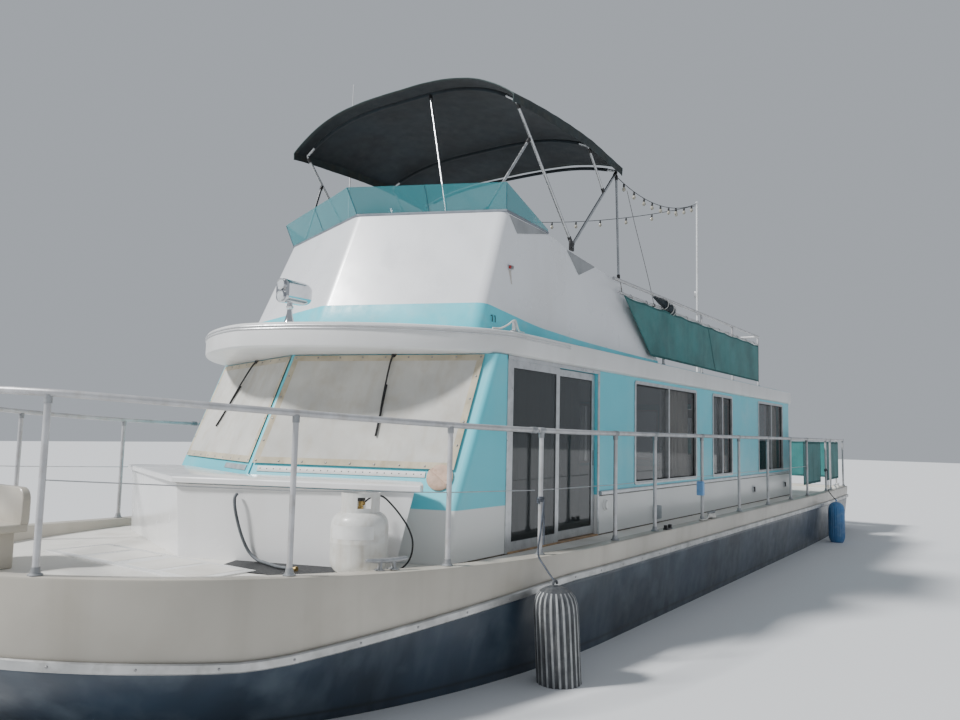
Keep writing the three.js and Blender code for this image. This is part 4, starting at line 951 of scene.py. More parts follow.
# Roof: a moulded slab with a rounded edge and a broad curved visor over the front, gloss white and a
# little chalky, with a double silver moulding round the visor and a turquoise line along each side.
ROOF_Y, ROOF_AFT, VISOR_FROM, VISOR_LENGTH = 1.452, -4.050, 3.450, 1.140
ROOF_EDGE, ROOF_CROWN = 2.123, 2.165
ROOF_PROFILE = [
    # inset, height
    (0.60, CEILING), (0.030, CEILING), (0.014, CEILING + 0.004), (0.003, CEILING + 0.014),
    (0.0, CEILING + 0.030),
    (0.0, ROOF_EDGE - 0.016), (0.004, ROOF_EDGE - 0.005), (0.016, ROOF_EDGE), (0.060, ROOF_EDGE + 0.006),
    (0.200, ROOF_EDGE + 0.020), (0.420, ROOF_CROWN), (0.90, ROOF_CROWN),
]


def roof_ring(inset, z, steps=30):
    half, aft = ROOF_Y - inset, ROOF_AFT + inset
    port = [Vector((aft, half, z))]
    port += [Vector((ROOF_AFT + 0.06 + inset + (VISOR_FROM - 0.06 - inset - ROOF_AFT) * k / 10, half, z))
             for k in range(10)]
    for k in range(steps + 1):
        share = math.sin(math.pi / 2 * k / steps)
        reach = (1 - (1 - share) ** 1.6) ** (1 / 1.5)
        port.append(Vector((VISOR_FROM + (VISOR_LENGTH - inset) * reach, half * (1 - share), z)))
    port[-1].y = 0
    return both_sides(port)


roof_white = finish("roof_white", (0.74, 0.74, 0.73), 0.38, spread=0.05, size=1.1, stain=(0.45, 0.43, 0.38),
                    stains=0.18, runs=0.14, coat=0.25, bump=0.04)
turquoise_line = finish("turquoise_line", TURQUOISE, 0.4, spread=0.08, size=3, stain=(0.45, 0.62, 0.62),
                        stains=0.3)
parts = [skin([roof_ring(inset, z) for inset, z in ROOF_PROFILE], ends=True)]
for drop in (0.024, 0.042):
    visor = [p for p in roof_ring(-0.0025, ROOF_EDGE - drop) if p.x > VISOR_FROM - 0.8]
    parts.append((*tube(visor, 0.0042, 8), 1))
for side in (1, -1):
    edge = [Vector((x, side * (ROOF_Y - 0.040), ROOF_EDGE + 0.0032))
            for x in (ROOF_AFT + 0.05, -1.5, 1.0, VISOR_FROM)]
    parts.append((*bar(edge, 0.026, 0.0025, (0, 0, 1)), 2))
fit(gathered("roof_moulding", parts, [roof_white, trim_aluminium, turquoise_line], 30), "white_gelcoat",
    "roof")


# Upper helm coaming: a moulded wall round the helm, open aft, gloss white with a turquoise band along
# its foot that is deep at the front and thin at the sides, and a rolled top edge. Thin grey plates on its
# sides are painted shadow under the screen and the top's hinge.
FLY_STATIONS = [
    # base x, base y, top x, top y, top z, height of the band
    (0.500, 1.250, 1.300, 1.196, 2.870, 2.192), (1.350, 1.250, 1.620, 1.194, 2.895, 2.200),
    (2.150, 1.246, 2.320, 1.190, 2.972, 2.215), (2.850, 1.240, 2.590, 1.184, 3.030, 2.245),
    (3.560, 1.215, 3.179, 1.156, 3.066, 2.335), (3.925, 0.000, 3.553, 0.000, 3.101, 2.350),
]
FLY_BASE, FLY_WALL = 2.185, 0.040
FLY_CREST = [(0.0, -0.012), (0.0035, -0.004), (0.011, 0.0), (FLY_WALL - 0.011, 0.0),
             (FLY_WALL - 0.003, -0.004), (FLY_WALL, -0.012)]


def fly_corner(before, here, after, reach):
    """Five stations that round a corner, from reach before it to reach after it."""
    def toward(other):
        span = math.hypot(other[0] - here[0], other[1] - here[1])
        return [h + (o - h) * min(0.45, reach / span) for h, o in zip(here, other)]

    start, end = toward(before), toward(after)
    return [tuple((1 - t) ** 2 * a + 2 * t * (1 - t) * b + t * t * c for a, b, c in zip(start, here, end))
            for t in (0, 0.25, 0.5, 0.75, 1)]


def in_triangles(work):
    bmesh.ops.triangulate(work, faces=[f for f in work.faces if len(f.verts) > 4])


def starboard(station):
    return tuple(v * (-1 if i in (1, 3) else 1) for i, v in enumerate(station))


stations = [FLY_STATIONS[0]]
for k in range(1, 5):
    stations += fly_corner(*FLY_STATIONS[k - 1:k + 2], 0.16 if k < 4 else 0.07)
nose = fly_corner(FLY_STATIONS[4], FLY_STATIONS[5], starboard(FLY_STATIONS[4]), 0.05)
stations += nose + [starboard(s) for s in reversed(stations)]
fly_sections = []
for k, s in enumerate(stations):
    a, b = stations[max(0, k - 1)], stations[min(len(stations) - 1, k + 1)]
    heading = Vector((b[2] - a[2], b[3] - a[3], 0)).normalized()
    inward = Vector((heading.y, -heading.x, 0))
    if inward.dot(Vector((2.0 - s[2], -s[3], 0))) < 0:
        inward = -inward
    low, base, top = (Vector(p) for p in ((*s[:2], ROOF_EDGE + 0.004), (*s[:2], FLY_BASE), s[2:5]))
    band = base.lerp(top, (s[5] - FLY_BASE) / (s[4] - FLY_BASE))
    crest = [top + inward * i + rise(z) for i, z in FLY_CREST]
    fly_sections.append([low, base, band, *crest, low + inward * FLY_WALL])
count = len(fly_sections[0])
work = loose(*skin(fly_sections, ends=True))
bmesh.ops.recalc_face_normals(work, faces=work.faces)
in_triangles(work)
work.verts.index_update()
for f in work.faces:
    f.material_index = int(all(v.index % count < 3 for v in f.verts))
coaming_white = finish("coaming_white", (0.79, 0.80, 0.82), 0.30, spread=0.035, size=0.8,
                       stain=(0.52, 0.50, 0.46), stains=0.12, runs=0.16, coat=0.4, bump=0.03)
fit(from_work("helm_coaming", work, [coaming_white, turquoise_line], 28), "white_gelcoat", "flybridge")


def fly_side(x, z, side=1, out=0.0):
    """A point on the coaming's side at x and height z."""
    for pair in zip(FLY_STATIONS, FLY_STATIONS[1:]):
        (x0, y0), (x1, y1) = ((s[0] + (s[2] - s[0]) * t, s[1] + (s[3] - s[1]) * t)
                              for s, t in ((s, (z - FLY_BASE) / (s[4] - FLY_BASE)) for s in pair))
        if x0 <= x <= x1:
            return Vector((x, side * (y0 + (y1 - y0) * (x - x0) / (x1 - x0) + out), z))
    return Vector((x, side * (1.19 + out), z))


def plate(inner, outer, flip):
    """A thin plate between two outlines of equal counts."""
    count = len(inner)
    faces = [tuple(range(count)), tuple(reversed(range(count, 2 * count)))]
    faces += [(k, k + count, (k + 1) % count + count, (k + 1) % count) for k in range(count)]
    return inside_out(inner + outer, faces) if flip else (inner + outer, faces)


# Painted shadow: thin grey plates laid on the coaming's sides, just below the screen and the top's hinge.
screen_shadow_grey = finish("screen_shadow_grey", (0.28, 0.29, 0.30), 0.55, spread=0.12, size=8, stains=0.2)
parts = []
for side in (1, -1):
    for corners in (((3.135, 3.048), (3.045, 2.925), (2.60, 3.020)),
                    ((2.31, 2.955), (2.12, 2.775), (1.80, 2.905))):
        inner, outer = ([fly_side(x, z, side, out) for x, z in corners] for out in (0.0, 0.0025))
        parts.append(plate(inner, outer, side > 0))
fit(gathered("coaming_painted_shadows", parts, [screen_shadow_grey], 25), "hose_rubber")
parts = []
for side, lens in ((1, 2), (-1, 3)):
    out_y = abs(fly_side(3.17, 2.640, side).y)
    parts += [slab(3.146, 3.194, *across(side, out_y - 0.018, out_y + 0.006), 2.622, 2.660),
              (*slab(3.150, 3.178, *across(side, out_y + 0.004, out_y + 0.026), 2.628, 2.656, 0.007, 3), 1),
              (*slab(3.176, 3.192, *across(side, out_y + 0.004, out_y + 0.022), 2.630, 2.654, 0.005, 3),
               lens)]
    # Below each light lies a thin pale plate mottled dark: a painted shadow of the light.
    lamp_shadow = [fly_side(x, z, side, 0.0008)
              for x, z in ((3.155, 2.622), (3.186, 2.622), (3.160, 2.520), (3.150, 2.520))]
    parts.append((*plate(lamp_shadow, [p - Vector((0, side * 0.0012, 0)) for p in lamp_shadow], side > 0), 4))
# The finish of that plate is painted shadow.
lamp_shadow_paint = finish("painted_lamp_shadow", (0.50, 0.47, 0.44), 0.6, spread=0.1, size=20, stain=(0.30, 0.25, 0.20),
                     stains=0.8)
fit(gathered("side_lights", parts, [
    frame_metal, screw_steel, finish("lens_red", (0.35, 0.02, 0.02), 0.12, coat=0.6),
    finish("lens_green", (0.02, 0.22, 0.08), 0.12, coat=0.6), lamp_shadow_paint]), "stainless_tube")


# Tinted screen: a low band of translucent teal plastic along the top of the coaming, held at its foot
# by a dull grey moulding and lapped at narrow upright seams.
SCREEN = [
    # foot x, foot y, top x, top y, foot z, height
    (2.600, 1.184, 2.612, 1.192, 3.0315, 0.024), (3.165, 1.157, 3.235, 1.200, 3.067, 0.200),
    (3.540, 0.000, 3.672, 0.000, 3.102, 0.200),
]
SCREEN_THICK = 0.008


def screen_point(share, up, side, inward=0.0):
    """share 0 aft, 1 at the corner, 2 at the ridge."""
    k = min(1, int(share))
    row = [p + (q - p) * (share - k) for p, q in zip(SCREEN[k], SCREEN[k + 1])]
    x = row[0] + (row[2] - row[0]) * up - 0.009 - inward * (1.0 if k else 0.15)
    y = row[1] + (row[3] - row[1]) * up - 0.009 * (share < 1.9) - inward * (0.33 if k else 1.0)
    return Vector((x, side * max(0.0, y) if share < 2 else 0.0, row[4] + 0.0015 + row[5] * up))


shares = [k / 8 for k in range(9)] + [1 + k / 6 for k in range(1, 7)]
around = [(s, 1) for s in shares] + [(s, -1) for s in reversed(shares[:-1])]
screen_sections = [[screen_point(s, u, side) for u in (0, 0.5, 1)]
                   + [screen_point(s, u, side, SCREEN_THICK) for u in (1, 0.5, 0)] for s, side in around]
parts = [skin(screen_sections, ends=True, flip=True)]
for height, dx, dy, radius in ((0.06, 0.002, 0.002, 0.0065), (0.02, 0.004, 0.003, 0.0085)):
    foot = [screen_point(s, height, side) + Vector((dx, dy * side, 0)) for s, side in around]
    parts.append((*tube(foot, radius, 8), 1))
for s, side in ((1.0, 1), (1.5, 1), (2.0, 1), (1.5, -1), (1.0, -1)):
    seam = [screen_point(s, u, side) + Vector((0.001, 0, 0)) for u in (0.04, 0.5, 0.97)]
    parts.append((*bar(seam, 0.007, 0.002, (1, 0.3 * side, 0)), 2))
fit(gathered("helm_screen", parts, [
    plain("screen_teal", (0.020, 0.27, 0.31), 0.08, alpha=0.60, coat=0.5),
    finish("screen_moulding", (0.20, 0.22, 0.25), 0.45, 0.4, spread=0.12, size=9, stains=0.3),
    plain("screen_seam", (0.015, 0.11, 0.14), 0.25)], 25), "screen_teal", "tinted_screen")


# Helm: a moulded console with a dark instrument panel, a stainless wheel with three spokes and a bench
# on a moulded box, with padded vinyl cushions.
HELM_FOOT, CONSOLE_AFT = 2.169, 2.760
CONSOLE_OUT = Vector((-1, 0, 0.048)).normalized()
DIALS = [(0.29, 2.845, 0.040), (0.40, 2.855, 0.030), (0.64, 2.855, 0.030), (0.75, 2.845, 0.040)]
WHEEL_AT, WHEEL_RADIUS, WHEEL_RIM, WHEEL_TILT, SHAFT = (2.700, 0.520, 2.820), 0.195, 0.013, 0.35, 0.091
WHEEL_HUB = [(-0.020, 0.030), (-0.016, 0.034), (0.012, 0.034), (0.019, 0.026), (0.020, 0.010)]


def on_console(y, z, out):
    return Vector((CONSOLE_AFT + 0.036 * (z - 2.20) / 0.735, y, z)) + CONSOLE_OUT * out


rings = []
for inset, z, drawn_in in ((0.0, HELM_FOOT, 0), (0.0, 2.20, 0), (0.036, 2.935, 0), (0.040, 2.950, 0),
                           (0.052, 2.960, 0.012)):
    rings.append([Vector((u, v, z)) for u, v in
                  rounded(CONSOLE_AFT + inset, 3.180 - inset * 1.45, 0.160 + drawn_in, 0.880 - drawn_in,
                          0.03, 4)])
parts = [skin(rings, ends=True, flip=True),
         (*rim(rounded(0.20, 0.84, 2.640, 2.915), rounded(0.215, 0.825, 2.655, 2.900, 0.02), 0.0, 0.006,
               on_console), 1),
         (*pane(0.212, 0.828, 2.652, 2.903, 0.0, 0.003, on_console), 1)]
for y, z, r in DIALS:
    parts += [(*tube([on_console(y, z, 0.002), on_console(y, z, 0.012)], r, 20), 2),
              (*tube([on_console(y, z, 0.0118), on_console(y, z, 0.0128)], r * 0.84, 20), 3)]
throttle = [on_console(0.235, z, out) for z, out in ((2.72, 0.002), (2.73, 0.040), (2.80, 0.075))]
parts.append((*tube(throttle, [0.008, 0.006, 0.009], 10), 2))
fit(gathered("helm_console_moulding", parts,
             [gel_white, wiper_black, frame_metal, plain("dial_face", (0.55, 0.55, 0.52), 0.4)], 30),
    "white_gelcoat", "helm_console")

spin = Matrix.Rotation(-math.pi / 2 + WHEEL_TILT, 4, "Y") @ Matrix.Rotation(math.pi / 2, 4, "Z")
hub = Matrix.Translation(WHEEL_AT) @ spin
ring = [Vector((WHEEL_RADIUS * math.cos(a), WHEEL_RADIUS * math.sin(a), 0)) for a in round_angles(48)]
parts = [tube(ring, [WHEEL_RIM * (0.93 + 0.07 * (k % 3 > 0)) for k in range(48)], 12, True),
         (*upright(Vector(), WHEEL_HUB, 20), 1),
         (*upright(Vector(), [(-SHAFT, 0.012), (-0.015, 0.012)], 14), 1)]
for k in range(3):
    a = math.pi / 2 + 2 * math.pi * k / 3
    spoke = [Vector((r * math.cos(a), r * math.sin(a), z))
             for r, z in ((0.026, 0), (0.10, 0.004), (0.187, 0))]
    parts.append((*tube(smooth_path(spoke, 4), 0.0085, 10), 1))
parts = [([hub @ v for v in part[0]], *part[1:]) for part in parts]
fit(gathered("helm_wheel_rim", parts, [black_rubber, frame_metal]), "stainless_tube", "helm_wheel",
    body="wheel")

vinyl = finish("seat_vinyl", (0.66, 0.64, 0.58), 0.48, spread=0.05, size=4, stain=(0.40, 0.36, 0.28),
               stains=0.2, grit=420, bump=0.25)
fit(gathered("helm_bench", [slab(1.790, 2.175, -0.815, 0.815, HELM_FOOT, 2.470, 0.02, 3),
                            slab(1.702, 1.745, -0.815, 0.815, HELM_FOOT, 2.845, 0.015, 3)], [gel_white]),
    "white_gelcoat", "helm_seat")


def cushion(name, low, high, crown, upright_pad=False):
    """A crowned closed pad whose sides pull in between its corners; an upright one crowns forward."""
    x0, y0, z0, x1, y1, z1 = (*low, *high)
    if upright_pad:
        x0, z0, x1, z1 = z0, x0, z1, x1

    def on_pad(s, t, under):
        u, v = s * 2 - 1, t * 2 - 1
        pull, pull_v = 0.016 * (1 - v * v) * abs(u) ** 8, 0.016 * (1 - u * u) * abs(v) ** 8
        fall = (1 - abs(u) ** 6) * (1 - abs(v) ** 6)
        rim_height = ((z1 - z0) / 2 - crown) * (0.35 + 0.65 * fall ** 0.35)
        z = (z0 + z1) / 2 + rim_height + crown * fall if under else (z0 + z1) / 2 - rim_height
        x = (x0 + x1) / 2 + u * (1 - pull / (x1 - x0) * 2) * (x1 - x0) / 2
        y = (y0 + y1) / 2 + v * (1 - pull_v / (y1 - y0) * 2) * (y1 - y0) / 2
        return (z, y, x) if upright_pad else (x, y, z)

    work, _ = cloth_grid(14, 14, on_pad, 1, 0)
    fit(from_work(name, work, [vinyl]), "white_gelcoat")


for k in range(3):
    y0 = -0.812 + k * 0.5423
    y1 = y0 + 0.538
    cushion(f"bench_cushion_{k + 1}", (1.803, y0, 2.470), (2.178, y1, 2.562), 0.012)
    cushion(f"bench_back_{k + 1}", (1.745, y0, 2.566), (1.800, y1, 2.842), 0.008, True)


# Folding frame of the top: three stainless bows in dark sleeves from one hinge plate a side, held up by
# stays and a pole, with black jaw fittings, end eyes and feet on the coaming.
TOP_AFT, TOP_FWD, TOP_HALF = 1.250, 3.170, 1.200
BOW_FWD, BOW_MIDDLE, BOW_AFT = 3.050, 1.850, 1.275
BOW_DROP, FRAME_Y, HINGE_X, TUBE_R, STAY_R = 0.042, 1.150, 2.200, 0.0125, 0.0125 * 0.9


def arch_z(x, y, drop=0.0):
    share = (x - TOP_AFT) / (TOP_FWD - TOP_AFT)
    edge = 3.950 + 0.070 * 4 * share * (1 - share)
    return edge - drop + (0.150 + 0.150 * share) * (1 - abs(y / TOP_HALF) ** 3.2)


tube_steel = finish("tube_steel", (0.46, 0.47, 0.48), 0.26, 0.95, spread=0.12, size=10,
                    stain=(0.20, 0.18, 0.16), stains=0.25, bump=0.08)
canvas_dark = finish("top_canvas", (0.006, 0.012, 0.017), 0.92, spread=0.35, size=2.6,
                     stain=(0.016, 0.026, 0.028), stains=0.5, sheen=0.08, grit=1100, bump=0.4)
parts = []
for x in (BOW_FWD, BOW_MIDDLE, BOW_AFT):
    bow = [Vector((x, y, arch_z(x, y, BOW_DROP))) for y in (FRAME_Y * (k / 12 - 1) for k in range(25))]
    parts += [tube(bow, TUBE_R), (*tube(bow[1:-1], TUBE_R + 0.003, 14), 3)]
FRAME_RODS = [
    ((HINGE_X, 1.170, 3.045), (BOW_FWD, 1.146, arch_z(BOW_FWD, FRAME_Y, 0.048)), TUBE_R),
    ((HINGE_X, 1.170, 3.000), (BOW_AFT, 1.146, arch_z(BOW_AFT, FRAME_Y, 0.048)), TUBE_R),
    ((BOW_AFT, 1.176, 2.885), (BOW_AFT, 1.146, 3.900), STAY_R),
    ((1.560, 1.157, 3.640), (BOW_MIDDLE, 1.146, 3.985), STAY_R),
    ((3.195, 0.975, 3.078), (2.850, 1.151, 3.735), STAY_R),
]
for side in (1, -1):
    for start, end, radius in FRAME_RODS:
        a, b = (Vector((p[0], side * p[1], p[2])) for p in (start, end))
        reach = (b - a).normalized()
        parts += [tube([a, b], radius),
                  (*tube([b - reach * 0.055, b - reach * 0.012], radius + 0.004), 1),
                  (*tube([a + reach * 0.012, a + reach * 0.050], radius + 0.004), 1)]
    parts.append((*slab(HINGE_X - 0.034, HINGE_X + 0.034, *across(side, 1.167, 1.185), 2.969, 3.057, 0.005),
                  1))
    for z in (3.000, 3.045):
        parts.append((*tube([Vector((HINGE_X, y, z)) for y in across(side, 1.160, 1.190)], 0.008, 10), 2))
    parts += [(*slab(1.250, 1.300, *across(side, 1.160, 1.192), 2.872, 2.884, 0.003), 1),
              (*slab(3.168, 3.206, *across(side, 0.955, 0.992), 3.070, 3.079, 0.002), 1)]
pole = [Vector((3.278, 0.680, 3.092)), Vector((BOW_FWD, 0.300, arch_z(BOW_FWD, 0.300, BOW_DROP)))]
parts += [tube(pole, STAY_R), (*tube([pole[1].lerp(pole[0], t) for t in (0.008, 0.045)], 0.016), 1)]
fit(gathered("top_frame_tubes", parts, [tube_steel, wiper_black, screw_steel, canvas_dark]),
    "stainless_tube", "top_frame")


# Canvas top: one dark acrylic sheet sewn in long panels and stretched over the bows. It sags a little
# between them, turns down all round as a faded valance, and is piped along its fore and after hems.
canvas_faded = finish("top_valance", (0.014, 0.024, 0.026), 0.9, spread=0.35, size=5,
                      stain=(0.045, 0.042, 0.030), stains=0.6, runs=0.3, sheen=0.08, grit=1100, bump=0.4)
canvas_piping = finish("top_piping", (0.040, 0.062, 0.060), 0.7, spread=0.25, size=12, stains=0.3)
SPANS, ARC, HANG = 48, 56, 5
ROUND = ARC + 2 * HANG
TOP_LENGTH = TOP_FWD - TOP_AFT
HEM_DROPS = [(TOP_AFT, 0.070), (1.730, 0.080), (2.690, 0.080), (TOP_FWD, 0.060)]


def hem_drop(x):
    for (a, low), (b, high) in zip(HEM_DROPS, HEM_DROPS[1:]):
        if x <= b + 1e-9:
            return low + (high - low) * (x - a) / (b - a)
    return HEM_DROPS[-1][1]


def top_point(s, t, lift):
    """s along the boat; t across, where the first and last HANG steps are the valance."""
    x, step = TOP_AFT + TOP_LENGTH * s, t * ROUND
    down = max(0.0, HANG - step, step - HANG - ARC) / HANG
    share = min(1.0, max(-1.0, (step - HANG) / ARC * 2 - 1))
    share = math.sin(share * math.pi / 2) * 0.35 + share * 0.65
    y = TOP_HALF * share
    sag = 0.0
    for a, b in ((BOW_AFT, BOW_MIDDLE), (BOW_MIDDLE, BOW_FWD)):
        if a < x < b:
            sag = 0.016 * math.sin(math.pi * (x - a) / (b - a)) ** 1.2 * (0.35 + 0.65 * (1 - share * share))
    ripple = 0.0015 * math.sin(31 * x + 5 * y) * math.sin(17 * y) * (1 - down)
    inset = 0.002 + 0.003 * down + abs(0.0030 * math.sin(26 * x) * down)
    return Vector((x, y - math.copysign(inset, share) * (abs(share) > 0.995),
                   arch_z(x, y) + 0.010 - sag + ripple - hem_drop(x) * down + lift * (1 - down)))


work, area = cloth_grid(SPANS, ROUND, top_point, 0.0022, 1)
for f in work.faces:
    if abs(f.calc_center_median().y) > TOP_HALF - 0.012:
        f.material_index = 1
top_sheet = fit(from_work("canvas_top_cloth", work, [canvas_dark, canvas_faded]), "top_canvas", "top_canvas")
parts = []
for s, dx in ((0.0, 0.003), (1.0, -0.003)):
    hem = [top_point(s, k / ROUND, 0.0) + Vector((dx, 0, -0.001)) for k in range(ROUND + 1)]
    parts.append(tube(hem, 0.0045, 8))
for y in (-0.62, 0.0, 0.62):
    seam = [Vector((x, y, 0)) for x in evenly(TOP_AFT + 0.004, TOP_FWD - 0.004, 40)]
    for p in seam:
        s = (p.x - TOP_AFT) / TOP_LENGTH
        steps = ((HANG + ARC * j / 224) / ROUND for j in range(225))
        near = min(steps, key=lambda t: abs(top_point(s, t, 0).y - y))
        p.z = top_point(s, near, 0).z + 0.0004
    parts.append((*bar(seam, 0.014, 0.0012, (0, 0, 1)), 1))
hems = fit(gathered("canvas_top_hems", parts, [canvas_piping, canvas_faded], 60), "top_canvas")


# Deck rails: painted pipe on posts along each gunwale, carried on round the bow and across the stern,
# with tee fittings at the posts, round flanges at their feet, and a taut wire at half height.
RAIL_HEIGHT, RAIL_R, RAIL_INSET, POST_R = 0.765, 0.017, 0.055, 0.0145
LIFELINE_HEIGHT, LIFELINE_R = 0.395, 0.0028
RAIL_POSTS = [3.610, 2.621, 1.882, 0.767, -0.366, -1.471, -2.540, -3.470, -4.790, -5.180, -6.480]
PULPIT_POSTS = [4.400, 5.292, 6.190]
FLANGE = [(0, 0.031), (0.004, 0.031), (0.010, 0.021), (0.034, 0.0175)]
rail_paint = finish("rail_pipe", (0.50, 0.50, 0.51), 0.42, 0.35, spread=0.12, size=7,
                    stain=(0.26, 0.22, 0.17), stains=0.35, runs=0.2, bump=0.12)
galvanised = finish("rail_fitting", (0.36, 0.37, 0.38), 0.5, 0.7, spread=0.2, size=16, stains=0.4, bump=0.2)
rail_finishes = [rail_paint, galvanised, frame_metal]


def gunwale_y(x):
    if x <= BOW_CENTRE:
        return side_y(x, HALF_BEAM)
    return HALF_BEAM * (1 - ((x - BOW_CENTRE) / BOW_LENGTH) ** 2) ** FULLNESS


def rail_point(x, side, height):
    return Vector((x, side * (gunwale_y(x) - RAIL_INSET), sheer(x) + height))


def rail_post(x, side):
    """A post with its foot flange and its tee on the rail."""
    foot, head = rail_point(x, side, 0.0015), rail_point(x, side, RAIL_HEIGHT)
    reach = (head - foot).normalized()
    return [tube([foot, head], POST_R, 14),
            (*tube([foot + reach * z for z, _ in FLANGE], [r for _, r in FLANGE], 18), 1),
            (*tube([head - reach * 0.046, head - reach * 0.010], 0.0178, 14), 1)]


def lifeline(xs, side):
    return *tube([rail_point(x, side, LIFELINE_HEIGHT) for x in xs], LIFELINE_R, 6), 2


for name, side in SIDES:
    pipe = [rail_point(x, side, RAIL_HEIGHT) for x in evenly(3.650, RAIL_POSTS[-1] - 0.012, 80)]
    parts = [tube(pipe, RAIL_R, 14)]
    for x in RAIL_POSTS:
        parts += rail_post(x, side)
        parts.append((*tube([rail_point(x + dx, side, RAIL_HEIGHT) for dx in (-0.028, 0.028)], 0.0196, 14),
                      1))
    parts.append(lifeline([3.610, *RAIL_POSTS[1:8]], side))
    fit(gathered(f"rail_{name}_pipe", parts, rail_finishes), "rail_pipe", f"rail_{name}")
half_bow = [rail_point(x, 1, RAIL_HEIGHT) for x in evenly(3.670, PULPIT_POSTS[-1], 24)]
tip_x = BOW_CENTRE + BOW_LENGTH - 0.075
half_bow.append(Vector((6.400, 0.330, sheer(6.4) + RAIL_HEIGHT)))
half_bow.append(Vector((tip_x, 0, sheer(tip_x) + RAIL_HEIGHT)))
parts = [tube(smooth_path(both_sides(half_bow), 3), RAIL_R, 14)]
for side in (1, -1):
    for x in PULPIT_POSTS:
        parts += rail_post(x, side)
    parts.append((*tube([rail_point(x, side, RAIL_HEIGHT) for x in (3.665, 3.720)], 0.0205, 14), 1))
    parts.append(lifeline((3.672, *PULPIT_POSTS), side))
fit(gathered("rail_bow_pipe", parts, rail_finishes), "rail_pipe", "rail_bow")
stern_x = STERN + RAIL_INSET
stern_half = gunwale_y(RAIL_POSTS[-1]) - RAIL_INSET - 0.045
parts = [tube([Vector((stern_x, y, sheer(0) + RAIL_HEIGHT)) for y in (-stern_half, stern_half)], RAIL_R, 14)]
for share in (-0.96, -0.35, 0.35, 0.96):
    foot = Vector((stern_x, share * stern_half, sheer(0) + 0.0005))
    parts += [tube([foot, foot + rise(RAIL_HEIGHT)], POST_R, 14), (*upright(foot, FLANGE, 18), 1)]
fit(gathered("rail_stern_pipe", parts, rail_finishes[:2]), "rail_pipe", "rail_stern")


# Sun deck rail on the roof: two pipes on posts round three sides, with flanges at the feet.
SUN_Y, SUN_Z, SUN_LOW, SUN_AFT, SUN_FWD = 1.260, 2.845, 2.735, -3.050, 1.440
SUN_FOOT = ROOF_EDGE + 0.024
parts = []
for y in (SUN_Y, -SUN_Y):
    for fore, z, radius in ((SUN_FWD + 0.120, SUN_Z, 0.016), (SUN_FWD, SUN_LOW, 0.012)):
        parts.append(tube([Vector((x, y, z)) for x in (fore, SUN_AFT - 0.020)], radius))
    for x in (0.380, -0.760, -1.900, SUN_AFT):
        parts.append(tube([Vector((x, y, z)) for z in (SUN_FOOT, SUN_Z - 0.003)], 0.0134))
        flange = [Vector((x, y, SUN_FOOT + z)) for z in (0, 0.004, 0.010, 0.030)]
        parts.append((*tube(flange, [0.036, 0.036, 0.023, 0.018], 16), 1))
for z, radius in ((SUN_Z, 0.015), (SUN_LOW, 0.011)):
    parts.append(tube([Vector((SUN_AFT - 0.003, y, z - 0.001)) for y in (-SUN_Y + 0.004, SUN_Y - 0.004)],
                      radius))
fit(gathered("sundeck_rail_pipe", parts, rail_finishes[:2]), "rail_pipe", "sundeck_rail")


# Shade cloths: dark green woven cloth laced to the sun deck rail, wrinkled along its top hem, slack at
# the forward edge and seamed in the middle, and more of it inside the after part of the deck rail.
shade_green = finish("shade_green", (0.028, 0.150, 0.150), 0.88, spread=0.22, size=2.8,
                     stain=(0.055, 0.20, 0.19), stains=0.45, runs=0.3, sheen=0.15, grit=700, bump=0.4)
shade_hem = finish("shade_hem", (0.018, 0.095, 0.095), 0.88, spread=0.25, size=6, stains=0.2, grit=700,
                   bump=0.4)
SHADE_AFT, SHADE_TOP_FWD, SHADE_LOW_FWD, SHADE_LOW, SHADE_TOP = -2.985, 1.395, 0.765, 2.218, 2.715
LACES, LACE_OVER_PIPE = 12, ((1.2475, 0.004), (1.262, 0.0155), (1.277, 0.002))
for name, side in SIDES:
    def on_shade(s, t, d):
        low_x, top_x = (fore + (SHADE_AFT - fore) * s for fore in (SHADE_LOW_FWD, SHADE_TOP_FWD))
        wrinkle = math.sin(46 * s + 2.1 * side) * 0.5 + math.sin(19 * s + 3 * t) * 0.5
        folds = wrinkle * 0.0042 * (0.3 + 0.7 * t)
        drape = math.sin(8 * s + 5 * t) * 0.003 + math.sin(3.1 * s * 7 - 4 * t) * 0.002
        droop = 0.010 * abs(math.sin(math.pi * 9 * s)) * t ** 4
        out = 1.2850 + (folds + drape) * min(1, 12 * min(s, 1 - s)) + d
        return Vector((low_x + (top_x - low_x) * t, side * out,
                       SHADE_LOW + (SHADE_TOP - SHADE_LOW) * t - droop))

    work, area = cloth_grid(150, 24, on_shade, 0.0012, 1)
    cloth = fit(from_work(f"shade_cloth_{name}_sheet", work, [shade_green, shade_hem]),
                "shade_green", f"shade_cloth_{name}")
    parts = [bar([on_shade(0.52, t / 10, 0.0008) for t in range(11)], 0.020, 0.0012, (0, side, 0))]
    for k in range(LACES):
        hole = on_shade((k + 0.5) / LACES, 0.985, 0.0)
        lace = [Vector((hole.x, side * y, SUN_LOW + dz)) for y, dz in LACE_OVER_PIPE]
        parts.append((*tube(smooth_path([*lace, hole + Vector((0, side * 0.001, -0.004))], 3), 0.0018, 6), 1))
    lacing = fit(gathered(f"shade_lacing_{name}", parts, [shade_hem, lamp_socket]), "shade_green")


